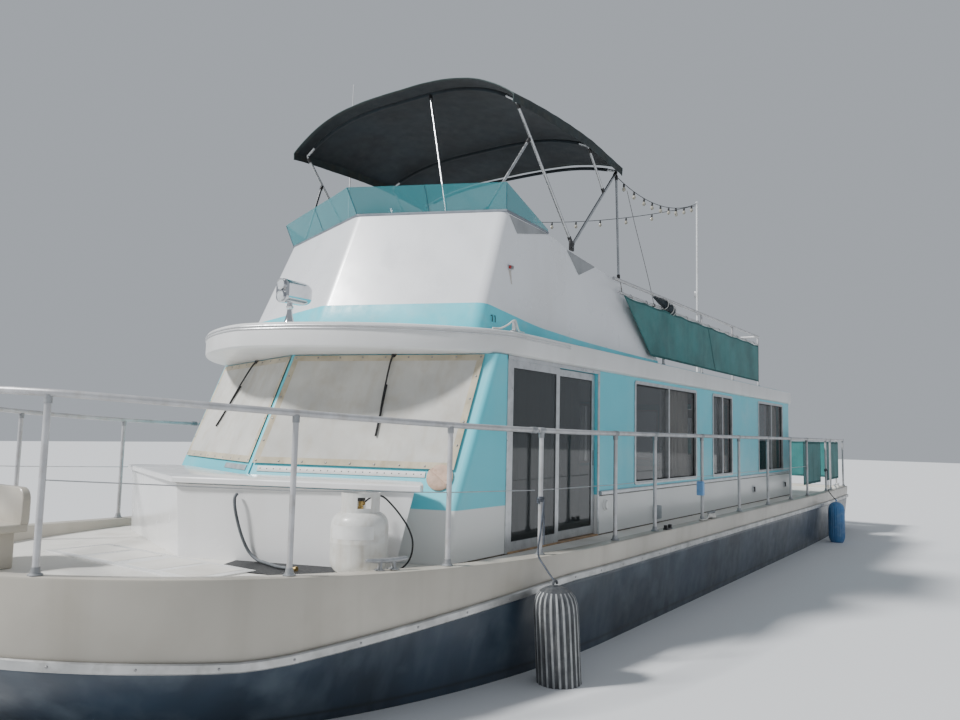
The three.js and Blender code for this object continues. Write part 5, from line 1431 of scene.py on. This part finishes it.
def hung_cloth(name, stands_for, route):
    """A strip of cloth hung along a level route, 0.60 m deep, with soft upright folds."""
    lengths = [0.0]
    for a, b in zip(route, route[1:]):
        lengths.append(lengths[-1] + (b - a).length)

    def on_cloth(s, t, d):
        gone = s * lengths[-1]
        k = max(i for i in range(len(route) - 1) if lengths[i] <= gone + 1e-9)
        a, b = route[k], route[k + 1]
        heading = (b - a).normalized()
        wave = 0.0022 * math.sin(gone * 19) * (1.1 - t) + 0.0012 * math.sin(gone * 47 + 3 * t)
        out = Vector((heading.y, -heading.x, 0)) * (wave * min(1, 10 * min(s, 1 - s)) + d)
        return (a.lerp(b, (gone - lengths[k]) / (lengths[k + 1] - lengths[k])) + out
                + rise(0.823 + 0.600 * t - 0.006 * abs(math.sin(gone * 9)) * t))

    work, area = cloth_grid(max(24, int(lengths[-1] * 40)), 18, on_cloth, 0.0012, 1)
    cloth = fit(from_work(name, work, [shade_green, shade_hem]), "shade_green", stands_for)


def inside_rail(xs):
    return [Vector((x, gunwale_y(x) - RAIL_INSET - 0.062 - 0.003, 0)) for x in xs]


hung_cloth("deck_cloth_port", "stern_cloth_port", inside_rail(-3.562 - 1.196 * k / 12 for k in range(13)))
cloth_x = stern_x + 0.033
quarter = inside_rail(evenly(-5.222, cloth_x, 12))
corner_y = quarter[-1].y
quarter[-1] = Vector((cloth_x + 0.012, corner_y, 0))
across_stern = [Vector((cloth_x, corner_y - 0.012 - (2 * corner_y - 0.016) * k / 30, 0)) for k in range(31)]
hung_cloth("deck_cloth_stern", "stern_cloth_aft", quarter + across_stern)


# Staff and whip: a painted wooden flagstaff with a ball truck, clamped inside the sun deck rail, and a
# white fibreglass whip with a chrome ferrule on a folding mount at the starboard side of the coaming.
staff_white = finish("staff_white", (0.66, 0.67, 0.68), 0.4, spread=0.08, size=9, stain=(0.35, 0.33, 0.28),
                     stains=0.3)
STAFF_X, STAFF_Y, STAFF_TOP = -0.720, 1.226, 4.128
MAST = Vector((2.400, -1.236, 2.520))
WHIP = [(0.0, 0.0110), (0.05, 0.0110), (0.055, 0.0145), (0.17, 0.0145), (0.18, 0.0110), (0.9, 0.0090),
        (0.905, 0.0100), (0.94, 0.0100), (0.945, 0.0080), (1.8, 0.0058), (2.41, 0.0042)]
ball = [math.pi * (k / 8 - 0.5) for k in range(9)]
parts = [tube([Vector((STAFF_X, STAFF_Y, z)) for z in (SUN_FOOT, 3.2, STAFF_TOP)], [0.013, 0.012, 0.0105],
              14),
         tube([Vector((STAFF_X, STAFF_Y, STAFF_TOP + 0.011 + 0.011 * math.sin(a))) for a in ball],
              [0.001 + 0.015 * math.cos(a) for a in ball], 14)]
for z in (SUN_LOW, SUN_Z):
    parts += [(*tube([Vector((STAFF_X, STAFF_Y, z + dz)) for dz in (-0.016, 0.016)], 0.0175, 14), 1),
              (*slab(STAFF_X - 0.012, STAFF_X + 0.012, STAFF_Y + 0.008, SUN_Y + 0.004, z - 0.012, z + 0.012,
                     0.003),
               1)]
parts.append((*slab(STAFF_X - 0.004, STAFF_X + 0.004, STAFF_Y - 0.034, STAFF_Y - 0.006, 3.02, 3.10, 0.002),
              1))
fit(gathered("flagstaff", parts, [staff_white, frame_metal]), "white_gelcoat", "flagpole")
fit(gathered("antenna_whip", [(*upright(MAST, WHIP[:5], 12), 1), upright(MAST, WHIP[4:], 12),
                              (*slab(MAST.x - 0.028, MAST.x + 0.028, -1.229, -1.217, 2.525, 2.605), 1)],
             [staff_white, frame_metal]), "white_gelcoat", "antenna")


# Searchlight: a chromed housing with two sealed beams one above the other, on a tapered pedestal that
# it turns on.
chrome = finish("lamp_chrome", (0.62, 0.63, 0.65), 0.10, 1.0, spread=0.05, size=20, stain=(0.35, 0.33, 0.30),
                stains=0.2, bump=0.05)
lens_glass = finish("lens_glass", (0.55, 0.58, 0.60), 0.08, spread=0.08, size=60, coat=0.8)
LAMP = Vector((4.280, 0.120, 2.372))
LAMP_COLUMN = [(-0.236, 0.046), (-0.230, 0.046), (-0.224, 0.040), (-0.190, 0.030), (-0.150, 0.020),
               (-0.124, 0.017), (-0.120, 0.024)]
LAMP_NECK = [(-0.114, 0.022), (-0.104, 0.026), (-0.096, 0.020), (-0.078, 0.020)]
HOUSING = [(-0.172, 0.34), (-0.168, 0.56), (-0.155, 0.78), (-0.130, 0.93), (-0.095, 1.0), (0.050, 1.0),
           (0.058, 1.03), (0.074, 1.03), (0.080, 0.97)]
BEZEL = [(0.078, 0.0330), (0.078, 0.0400), (0.092, 0.0395), (0.094, 0.0365), (0.090, 0.0335)]
LENS_BOWL = [(0.076, 0.0340), (0.089, 0.0338), (0.0915, 0.022), (0.0925, 0.010), (0.0928, 0.001)]
fit(gathered("searchlight_column", [upright(LAMP, LAMP_COLUMN, 22)], [chrome], 35),
    "lamp_chrome", "searchlight_base")
rings = []
for x, scale in HOUSING:
    half_y, half_z = 0.056 * scale, 0.080 * scale
    rings.append([Vector((LAMP.x + x, LAMP.y + u, LAMP.z + v)) for u, v in
                  rounded(-half_y, half_y, -half_z, half_z, min(half_y, half_z) * 0.80, 6)])
parts = [skin(rings, ends=True)]
for z in (-0.0405, 0.0405):
    parts += [lathe(LAMP + rise(z), BEZEL, 28, ring=True, along_x=True),
              (*lathe(LAMP + rise(z), LENS_BOWL, 28, along_x=True), 1)]
parts.append(upright(LAMP, LAMP_NECK, 18))
fit(gathered("searchlight_housing", parts, [chrome, lens_glass], 35), "lamp_chrome", "searchlight",
    body="lamp")


# Foredeck locker: a gloss white box against the cabin front with raked ends and a blunt middle ridge,
# under an overhanging lid. Behind the lid lie a grey strip and a punched vent strip.
LOCKER = [(0.6505, 4.960, 4.475, 1.310), (0.970, 4.988, 4.450, 1.382), (1.092, 5.000, 4.440, 1.410)]
LOCKER_FLOOR = (0.690, 4.960, 4.475, 1.310)
END_RAKE = 0.310
LID_PROFILE = [(0.028, 1.104), (0.026, 1.098), (0.004, 1.098), (0.0, 1.102), (0.0, 1.127), (0.003, 1.133),
               (0.010, 1.1355)]
FACING_FRONT = (1, 0.335, 0.44)
gloss_white = finish("gloss_white", (0.80, 0.80, 0.80), 0.20, spread=0.035, size=1.3,
                     stain=(0.56, 0.53, 0.46), stains=0.10, runs=0.10, coat=0.5, bump=0.03)
strip_grey = finish("strip_grey", (0.32, 0.35, 0.37), 0.6, spread=0.15, size=12, stains=0.25)
strip_white = finish("strip_white", (0.70, 0.70, 0.68), 0.5, spread=0.06, size=12, stains=0.2)


def locker_ring(z, ridge_x, end_x, end_y, inset):
    """The front of the locker at one height, from its port end round the ridge, with eased corners."""
    y = end_y - inset * 1.6
    end, nose = Vector((end_x - inset * 0.4, y, z)), Vector((ridge_x - inset, 0, z))
    back = Vector((front_x(y - END_RAKE, z) + 0.0015, y - END_RAKE, z))
    line = [back, end.lerp(back, 0.10), end.lerp(back, 0.02).lerp(end.lerp(nose, 0.005), 0.5),
            end.lerp(nose, 0.02)]
    line += [end.lerp(nose, t) for t in (0.25, 0.5, 0.75, 0.96)]
    line.append(nose - Vector((0.006, 0, 0)))
    return both_sides(line)


def lid_ring(z, inset):
    """Outline of the lid at one height: overhanging front with a middle ridge, and a notched back."""
    end = Vector((4.437 - inset, 1.470 - inset, z))
    nose, back_ridge = Vector((5.035 - inset, 0, z)), Vector((4.530 + inset, 0, z))
    hinge_x = 4.180 + inset * 0.5
    notch = (4.530 - 4.160 - 0.020) / 0.335
    back_end = Vector((hinge_x, 1.255 - inset, z))
    line = [back_ridge, Vector((hinge_x, notch - inset, z)), back_end]
    line += [end.lerp(back_end, 0.2), end.lerp(nose, 0.012)]
    line += [end.lerp(nose, t) for t in (0.33, 0.66, 0.97)]
    line.append(nose - Vector((0.005, 0, 0)))
    return both_sides(line, skip=1)


rings = [locker_ring(*row, 0.0) for row in LOCKER]
rings += [locker_ring(*LOCKER[2], 0.024), locker_ring(*LOCKER[1], 0.024), locker_ring(*LOCKER_FLOOR, 0.026)]
vertices, faces = skin(rings, closed=False)
count = len(rings[0])
work = loose(vertices, [*faces, tuple(range(len(vertices) - count, len(vertices))), tuple(range(count))])
bmesh.ops.holes_fill(work, edges=[e for e in work.edges if len(e.link_faces) == 1], sides=0)
bmesh.ops.recalc_face_normals(work, faces=work.faces)
in_triangles(work)
fit(from_work("foredeck_locker", work, [gloss_white], 25), "white_gelcoat", "locker")
work = loose(*skin([lid_ring(z, inset) for inset, z in LID_PROFILE], ends=True))
in_triangles(work)
bmesh.ops.recalc_face_normals(work, faces=work.faces)
fit(from_work("locker_lid_moulding", work, [gloss_white], 25), "white_gelcoat", "locker_lid", body="lid")


def vent_strip(name, y0, y1, material, holes):
    """A strip lying on the cabin front just above the lid, punched with round holes."""
    low, high = 1.1500, 1.1880
    middle = (low + high) / 2
    line = [on_front(y0 + (y1 - y0) * k / 6, middle, 0.0) for k in range(7)]
    facing = (1, math.copysign(0.335, y1), 0.44)
    fit(gathered(name, [bar(line, high - low, 0.006, facing)], [material]), "white_gelcoat")
    if holes:
        spots = [on_front(y0 + (y1 - y0) * (k + 0.5) / holes, middle + 0.003, 0.0062) for k in range(holes)]
        studs(name + "_holes", spots, [FACING_FRONT] * holes, 0.0052, 0.0014, wiper_black, "hose_rubber")


vent_strip("vent_strip", 0.060, 1.180, strip_white, 24)
vent_strip("grey_strip", -0.440, -0.050, strip_grey, 0)


# Bow seat: a moulded beige seat on a box, its back rounded at the top corners.
rings = [[Vector((x, u, v)) for u, v in rounded(-0.780, -0.220, 0.850, 1.085, 0.07, 6)]
         for x in (5.730, 5.775)]
work = loose(*inside_out(*skin(rings, ends=True)))
bmesh.ops.recalc_face_normals(work, faces=work.faces)
bmesh.ops.bevel(work, geom=[e for e in work.edges if e.calc_face_angle(0) > 1.2], offset=0.010, segments=3,
                affect="EDGES", profile=0.6)
fit(gathered("bow_seat_moulding", [taken(work, outward=False),
                                   slab(5.732, 6.038, -0.778, -0.222, 0.846, 0.890, 0.014, 3),
                                   slab(5.772, 5.988, -0.718, -0.282, 0.6505, 0.858, 0.012, 3)],
             [band_beige], 35),
    "deck_gelcoat", "bow_seat")


# Gas cylinder: welded steel in off-white paint, with a foot ring, a middle seam, a collar with two hand
# holes that is open at the valve, a brass valve and a blank label.
TANK = Vector((4.720, 1.265, DECK_Z + 0.0005))
TANK_BODY = [(0.012, 0.001), (0.012, 0.090), (0.030, 0.108), (0.040, 0.130), (0.060, 0.146), (0.080, 0.1525),
             (0.098, 0.155), (0.186, 0.155), (0.189, 0.1558), (0.193, 0.1558), (0.196, 0.155), (0.270, 0.155),
             (0.290, 0.1525), (0.310, 0.146), (0.330, 0.133), (0.346, 0.110), (0.357, 0.075), (0.362, 0.036),
             (0.363, 0.001)]
TANK_FOOT = [(0.0, 0.103), (0.0, 0.108), (0.006, 0.112), (0.032, 0.112), (0.034, 0.106), (0.030, 0.099)]
COLLAR = [(0.1040, 0.344), (0.1040, 0.370), (0.1045, 0.430), (0.1045, 0.446), (0.1060, 0.4515),
          (0.1035, 0.4515), (0.1010, 0.446), (0.1010, 0.430), (0.1005, 0.370), (0.1005, 0.344)]
HAND_HOLES = ((9, 14), (22, 27))
tank_paint = finish("tank_paint", (0.66, 0.66, 0.63), 0.38, spread=0.06, size=7, stain=(0.34, 0.26, 0.16),
                    stains=0.3, runs=0.25, coat=0.2, bump=0.15)
turns = [math.radians(208 + 304 * k / 36) for k in range(37)]
vertices, faces = skin([[TANK + Vector((r * math.cos(a), r * math.sin(a), z)) for r, z in COLLAR]
                        for a in turns],
                       ends=True)
for first, last in HAND_HOLES:
    cut = set()
    for k in range(10 * first, 10 * last, 10):
        cut |= {frozenset((k + i, k + i + 1, k + i + 10, k + i + 11)) for i in (1, 7)}
        faces += [(k + 1, k + 11, k + 18, k + 8), (k + 2, k + 7, k + 17, k + 12)]
    faces = [f for f in faces if frozenset(f) not in cut]
    faces += [(k + 1, k + 2, k + 7, k + 8) for k in (10 * first, 10 * last)]
label = [[Vector((r * math.cos(a), r * math.sin(a), z))
          for a in (math.radians(-24 + 4.8 * k) for k in range(21))]
         for r, z in ((0.1556, 0.215), (0.1552, 0.285))]
label += [[Vector((p.x * 0.996, p.y * 0.996, p.z)) for p in row] for row in reversed(label)]
label = [[TANK + p for p in row] for row in label]
outlet = [TANK + Vector((x, 0, 0.3905)) for x in (-0.010, -0.018, -0.019, -0.0235)]
fit(gathered("gas_cylinder_shell", [
    lathe(TANK, TANK_BODY, 40), lathe(TANK, TANK_FOOT, 40, ring=True), taken(loose(vertices, faces)),
    (*lathe(TANK, [(0.358, 0.016), (0.374, 0.016), (0.376, 0.012), (0.403, 0.012)], 14), 1),
    (*lathe(TANK, [(0.404, 0.017), (0.408, 0.024), (0.424, 0.024), (0.426, 0.018)], 14), 2),
    (*tube(outlet, [0.009, 0.009, 0.0125, 0.0125], 12), 1),
    (*skin([*label, label[0]], closed=False), 3)],
    [tank_paint, brass, black_rubber, finish("blank_label", (0.72, 0.72, 0.70), 0.5, spread=0.05, size=20)],
             35),
    "white_gelcoat", "gas_cylinder")


# Fenders: inflated vinyl cylinders with moulded ribs and rope eyes, hung on three-strand lanyards from
# rail posts over the gunwale. The fore one is grey and scuffed pale, the aft one blue.
RIBS, RIB_SIDES = 22, 132
fender_vinyl = {
    "fender_grey": finish("fender_grey", (0.060, 0.064, 0.070), 0.75, spread=0.3, size=9,
                          stain=(0.20, 0.20, 0.19), stains=0.35, runs=0.3, bump=0.3),
    "fender_blue": finish("fender_blue", (0.05, 0.19, 0.42), 0.5, spread=0.15, size=6,
                          stain=(0.30, 0.42, 0.55), stains=0.35, runs=0.2, coat=0.2),
}
rib_pale = finish("fender_rib", (0.36, 0.37, 0.37), 0.7, spread=0.2, size=11, stain=(0.10, 0.10, 0.11),
                  stains=0.5, runs=0.55, bump=0.3)
rope_blue = finish("rope_dark", (0.07, 0.08, 0.10), 0.85, spread=0.35, size=40, stains=0.4, bump=0.4)
FENDERS = [
    # name, slot, x, radius, top, length, post x, height held at, trail
    ("fender_fore", "fender_grey", 3.790, 0.132, 0.560, 0.790, 3.610, 1.030, 0.11),
    ("fender_aft", "fender_blue", -4.350, 0.110, 0.570, 0.600, -4.790, 1.000, 0.0),
]
for name, slot, x, r, top, length, post, held, trail in FENDERS:
    y = gunwale_y(x) + 0.026 + r + 0.018
    centre = Vector((x, y, top - length))
    profile = [(0.0, 0.012), (0.004, r * 0.30), (0.012, r * 0.50), (0.030, r * 0.72), (0.060, r * 0.88),
               (0.100, r * 0.97), (0.150, r), (length - 0.150, r), (length - 0.100, r * 0.97),
               (length - 0.060, r * 0.88), (length - 0.030, r * 0.70), (length - 0.012, r * 0.46),
               (length - 0.003, r * 0.26), (length, 0.014)]
    rings = []
    for z, radius in profile:
        depth = 0.055 * min(1.0, max(0.0, (radius / r - 0.6) / 0.35))
        rings.append([centre + Vector((-trail * (length - z), 0, z)) + Vector((math.cos(a), math.sin(a), 0))
                      * radius * (1 - depth * (1 - abs(math.cos(a * RIBS / 2)) ** 0.6))
                      for a in round_angles(RIB_SIDES)])
    over = Vector((x - (x - post) * 0.35, gunwale_y(x) + 0.024, 0.712))
    tie = Vector((post, gunwale_y(post) - RAIL_INSET + 0.024, held))
    hold = Vector((x, y, top))
    eye = [hold + Vector((0.024 * math.cos(a), 0, 0.008 + 0.020 * math.sin(a)))
           for a in evenly(0, math.pi, 6)]
    lanyard = smooth_path([hold + rise(0.020), hold.lerp(over, 0.6), over, over.lerp(tie, 0.5), tie], 8)
    post_at = rail_point(post, 1, held - sheer(post))
    hitch = [post_at + Vector((0.0205 * math.cos(math.pi * k / 8), 0.0205 * math.sin(math.pi * k / 8),
                               0.018 - 0.036 * k / 49)) for k in range(50)]
    tail = smooth_path([tie, tie + Vector((0.012, 0.006, -0.05)), tie + Vector((0.006, 0.008, -0.17)),
                        tie + Vector((0.010, 0.008, -0.27))], 6)
    fender = gathered(name + "_body", [
        skin(rings, ends=True, flip=True), tube(eye, 0.008, 10), (*tube(lanyard, 0.0058, 8), 1),
        (*tube(hitch, 0.0048, 8), 1), (*tube(tail, 0.0050, 8), 1)],
                      [fender_vinyl[slot], rope_blue, rib_pale], 45)
    if slot == "fender_grey":
        for ring in range(3, len(profile) - 4):
            for k in range(RIB_SIDES):
                if k % 6 in (0, 5):
                    fender.data.polygons[ring * RIB_SIDES + k].material_index = 2
    fit(fender, slot, name)


# Deck and side fittings: galvanised horn cleats, black chocks, a deck drain, a thin black sheet on the
# deck beside the cylinder, the tan vent disc, shore power inlet, junction box and clamshell vents on the
# side.
def horn_cleat(x, y, z, length, heading, slot=0):
    """A bar with rounded horns on two pairs of legs."""
    c, s = math.cos(heading), math.sin(heading)

    def at(ahead, cross, up):
        return Vector((x + c * ahead - s * cross, y + s * ahead + c * cross, z + up))

    horns = [at(length * t, 0, 0.050 + 0.006 * (2 * abs(t)) ** 2)
             for t in (-0.5, -0.46, -0.2, 0.0, 0.2, 0.46, 0.5)]
    parts = [(*tube(horns, [0.006, 0.011, 0.0125, 0.0125, 0.0125, 0.011, 0.006]), slot)]
    for end in (-1, 1):
        for cross in (-0.014, 0.014):
            leg = [at(end * length * 0.17, cross, 0.0), at(end * length * 0.15, cross * 0.4, 0.046)]
            parts.append((*tube(leg, 0.0075, 10), slot))
        foot = [at(end * length * 0.17, cross, 0.003) for cross in (-0.026, 0.026)]
        parts.append((*bar(foot, 0.040, 0.006, (0, 0, 1)), slot))
    return parts


CLEAT_X, CLEAT_IN, CHOCK_X, DRAIN_X = 0.520, 0.050, 1.690, 5.120
HOSE_FITTING = [(0.0005, 0.028), (0.012, 0.026), (0.014, 0.016), (0.030, 0.014)]
parts = horn_cleat(4.780, 1.520, sheer(4.78) - 0.001, 0.240, math.radians(-22))
parts += horn_cleat(CLEAT_X, gunwale_y(CLEAT_X) - CLEAT_IN, sheer(0.5) - 0.001, 0.200, 0.0)
for x in (-5.600, -6.090):
    for side in (1, -1):
        parts += horn_cleat(x, side * (gunwale_y(x) - 0.085 + 0.03 * (x > -6)), sheer(0) - 0.001, 0.180,
                            0.0, 1)
fit(gathered("horn_cleats", parts, [galvanised, gel_white]), "stainless_tube")
parts = []
chock_y, chock_z = gunwale_y(CHOCK_X) - 0.022, sheer(CHOCK_X)
for side in (1, -1):
    parts.append(slab(CHOCK_X - 0.06, CHOCK_X + 0.06, *across(side, chock_y - 0.018, chock_y + 0.018),
                      chock_z - 0.001, chock_z + 0.012))
    for x in (CHOCK_X - 0.045, CHOCK_X + 0.045):
        parts.append(slab(x - 0.012, x + 0.012, *across(side, chock_y - 0.014, chock_y + 0.014),
                          chock_z + 0.010, chock_z + 0.036, 0.005))
fit(gathered("rope_chocks", parts, [wiper_black]), "hose_rubber")
# A thin black sheet lying on the deck beside the cylinder, over a thinner black slab.
fit(gathered("black_deck_patch", [
    level_sheet(DECK_Z + 0.0042, [(5.08, 0.50), (4.76, 0.34), (4.56, 0.86), (4.61, 0.98), (4.565, 1.09),
                                  (4.60, 1.12), (4.90, 1.12), (5.02, 0.80)], []),
    slab(4.62, 5.00, 0.52, 1.11, DECK_Z + 0.0004, DECK_Z + 0.0040, 0.001, 1)], [black_rubber]), "hose_rubber")
fit(gathered("deck_drain", [
    lathe(Vector((DRAIN_X, -0.150, DECK_Z)),
          [(0.001, 0.032), (0.001, 0.052), (0.004, 0.050), (0.0045, 0.034)], 20, ring=True),
    (*slab(DRAIN_X - 0.028, DRAIN_X + 0.028, -0.153, -0.147, DECK_Z + 0.003, DECK_Z + 0.006, 0.001, 1), 1),
    (*upright(Vector((4.590, 0.730, DECK_Z)), HOSE_FITTING, 16), 1)], [galvanised, wiper_black]),
    "stainless_tube")

vent_tan = finish("vent_tan", (0.52, 0.36, 0.27), 0.6, spread=0.18, size=14, stain=(0.30, 0.17, 0.10),
                  stains=0.5)
disc_at = on_front(1.275, 1.158, 0.0)
disc_out = Vector(FACING_FRONT).normalized()
disc_side = disc_out.cross(rise(1)).normalized()
disc_up = disc_side.cross(disc_out)
flap = [disc_at + disc_out * 0.017 + disc_side * s * 0.058 + disc_up * s * 0.044 for s in (-1, 1)]
fit(gathered("vent_disc", [
    tube([disc_at + disc_out * d for d in (0.0, 0.010, 0.016, 0.018)], [0.086, 0.086, 0.078, 0.060], 32),
    bar(flap, 0.020, 0.007, disc_out)], [vent_tan]), "cover_canvas")

parts = []
for side in (1, -1):
    for x in (-2.190, -3.720):
        for k in range(5):
            half = 0.052 - 0.0035 * k * k * 0.6
            parts.append(slab(x - half, x + half, *across(side, CABIN_Y, CABIN_Y + 0.006 + 0.005 * k),
                              0.775, 0.775 + 2 * max(0.010, 0.045 - 0.009 * k), 0.002, 1))
        mouth = across(side, CABIN_Y + 0.004, CABIN_Y + 0.0285)
        parts.append((*slab(x + 0.010, x + 0.040, *mouth, 0.786, 0.846), 3))
    parts.append((*slab(0.930, 1.050, *across(side, CABIN_Y, CABIN_Y + 0.040), 0.690, 0.810, 0.008), 1))
    inlet = [on_side(side)(2.040, 0.880, d) for d in (0.0, 0.006, 0.010, 0.026)]
    parts.append((*tube(inlet, [0.046, 0.046, 0.036, 0.032], 24), 2))
fit(gathered("side_fittings", parts, [frame_metal, strip_grey, gel_white, wiper_black]), "stainless_tube")


# Odds and ends: a rope made fast from the port lamp string to the sun deck rail, a dark cloth tied in a
# bundle to that rail, rope turned about the port cleat, and a blue plastic box clipped to a rail post.
rope_white = finish("rope_white", (0.66, 0.65, 0.61), 0.85, spread=0.10, size=20, sheen=0.2, grit=400,
                    bump=0.5)
rope_tan = finish("rope_tan", (0.16, 0.15, 0.14), 0.85, spread=0.2, size=20, grit=400, bump=0.5)
halyard = smooth_path([(1.045, 1.153, 3.807), (0.905, 1.175, 3.500), (0.775, 1.205, 3.200),
                       (0.675, 1.238, 2.920), (0.640, 1.262, 2.752)], 5)
parts = [tube(halyard, 0.003, 8)]
for x in (0.632, 0.639, 0.646):
    parts.append(tube([Vector((x, 1.260 + 0.0165 * math.cos(a), SUN_LOW + 0.0165 * math.sin(a)))
                       for a in round_angles(16)], 0.003, 6, True))
fit(gathered("sundeck_halyard", parts, [rope_tan], 60), "hose_rubber")

BUNDLE = [
    # x, out from the rail, height, half thickness
    (0.640, 0.000, 2.818, 0.008), (0.540, 0.004, 2.806, 0.019), (0.440, 0.010, 2.790, 0.030),
    (0.370, 0.018, 2.768, 0.043), (0.310, 0.014, 2.756, 0.036), (0.240, 0.016, 2.748, 0.046),
    (0.170, 0.008, 2.738, 0.034), (0.110, 0.004, 2.730, 0.022), (0.060, 0.000, 2.724, 0.008),
]
bundle_dark = finish("bundle_cloth", (0.012, 0.022, 0.030), 0.92, spread=0.4, size=9,
                     stain=(0.03, 0.06, 0.07), stains=0.5, sheen=0.1, grit=700, bump=0.5)
halves = smooth_path([(x, half, z) for x, _, z, half in BUNDLE], 4)
rings = []
for k, (middle, row) in enumerate(zip(smooth_path([(x, SUN_Y + out, z) for x, out, z, _ in BUNDLE], 4),
                                      halves)):
    rings.append([middle + Vector((0, math.cos(a), math.sin(a))) * max(0.004, row.y)
                  * (1 + 0.20 * math.sin(3 * a + 0.55 * k) + 0.10 * math.sin(5 * a - 0.8 * k))
                  for a in round_angles(18)])
bundle = gathered("sundeck_bundle", [skin(rings, ends=True, flip=True)], [bundle_dark], 70)
fit(bundle, "cover_canvas")
parts = []
for x, z, reach in ((0.405, 2.780, 0.052), (0.275, 2.752, 0.060), (0.205, 2.744, 0.058)):
    parts.append(tube([Vector((x + 0.004 * math.sin(a), SUN_Y + 0.012 + reach * math.cos(a),
                               z + reach * math.sin(a))) for a in round_angles(20)], 0.0035, 6, True))
fit(gathered("sundeck_bundle_ties", parts, [rope_white], 60), "cover_canvas")

parts = []
cleat = Vector((CLEAT_X, gunwale_y(CLEAT_X) - CLEAT_IN, sheer(0.5)))
for layer in range(4):
    swell, lift = 0.019 + 0.004 * (layer % 2), 0.012 + 0.011 * layer
    parts.append(tube([cleat + Vector((0.088 * math.cos(a), swell * math.sin(a) * (1.6 - abs(math.cos(a))),
                                       lift + 0.005 * math.sin(2 * a + layer))) for a in round_angles(28)],
                      0.0068, 8, True))
tail = smooth_path([cleat + Vector(p) for p in (
    (0.080, 0, 0.030), (0.160, 0.012, 0.010), (0.240, 0.022, 0.0072), (0.315, 0.010, 0.0072),
    (0.280, -0.020, 0.0072), (0.200, -0.016, 0.0072))], 5)
parts.append(tube(tail, 0.0068, 8))
fit(gathered("cleat_lashing", parts, [rope_white], 60), "cover_canvas")

clip_blue = finish("clip_blue", (0.20, 0.42, 0.74), 0.5, spread=0.12, size=16, stain=(0.36, 0.50, 0.70),
                   stains=0.4)
x, y, z = RAIL_POSTS[3], gunwale_y(RAIL_POSTS[3]) - RAIL_INSET, sheer(RAIL_POSTS[3])
parts = [slab(0.7840, 0.8300, y - 0.031, y + 0.031, z + 0.225, z + 0.345, 0.007, 3),
         slab(0.7870, 0.8270, y - 0.028, y + 0.028, z + 0.3452, z + 0.3520, 0.003, 2)]
for height in (0.245, 0.315):
    parts.append(tube([Vector((x + 0.0175 * math.cos(a), y + 0.0175 * math.sin(a), z + height))
                       for a in round_angles(18)], 0.003, 6, True))
fit(gathered("rail_post_box", parts, [clip_blue]), "fender_blue")


# Roof corner fitting: a chromed bracket screwed to the visor's port corner, with a pale rope eye through
# it, two small dark hooks on the coaming's band, and the dark run of water below the after stay's foot.
EYE_ROPE = [(3.600, 1.345, 0.012), (3.545, 1.372, 0.016), (3.490, 1.398, 0.046), (3.455, 1.411, 0.074),
            (3.425, 1.413, 0.080), (3.395, 1.405, 0.058), (3.345, 1.396, 0.018), (3.280, 1.392, 0.015)]
parts = [slab(3.435, 3.441, 1.395, 1.430, ROOF_EDGE + 0.012, ROOF_EDGE + 0.078, 0.002, 1),
         slab(3.415, 3.462, 1.392, 1.433, ROOF_EDGE + 0.004, ROOF_EDGE + 0.011, 0.002, 1),
         (*tube(smooth_path([(x, y, ROOF_EDGE + z) for x, y, z in EYE_ROPE], 5), 0.006, 8), 1)]
for x in (3.430, 3.395):
    hook = [fly_side(x, 2.252) + Vector(p) for p in ((0, 0, 0), (0.004, 0.012, 0), (0.005, 0.015, -0.020),
                                                     (0.005, 0.015, -0.046))]
    parts.append((*tube(hook, 0.0032, 8), 2))
water_run = [fly_side(1.268, z, 1, 0.0012) for z in (2.868, 2.800, 2.745)]
parts.append((*bar(water_run, 0.014, 0.0012, (0, 1, 0)), 3))
fit(gathered("roof_corner_fittings", parts, [frame_metal, rope_white, wiper_black, seam_dirt]),
    "stainless_tube")
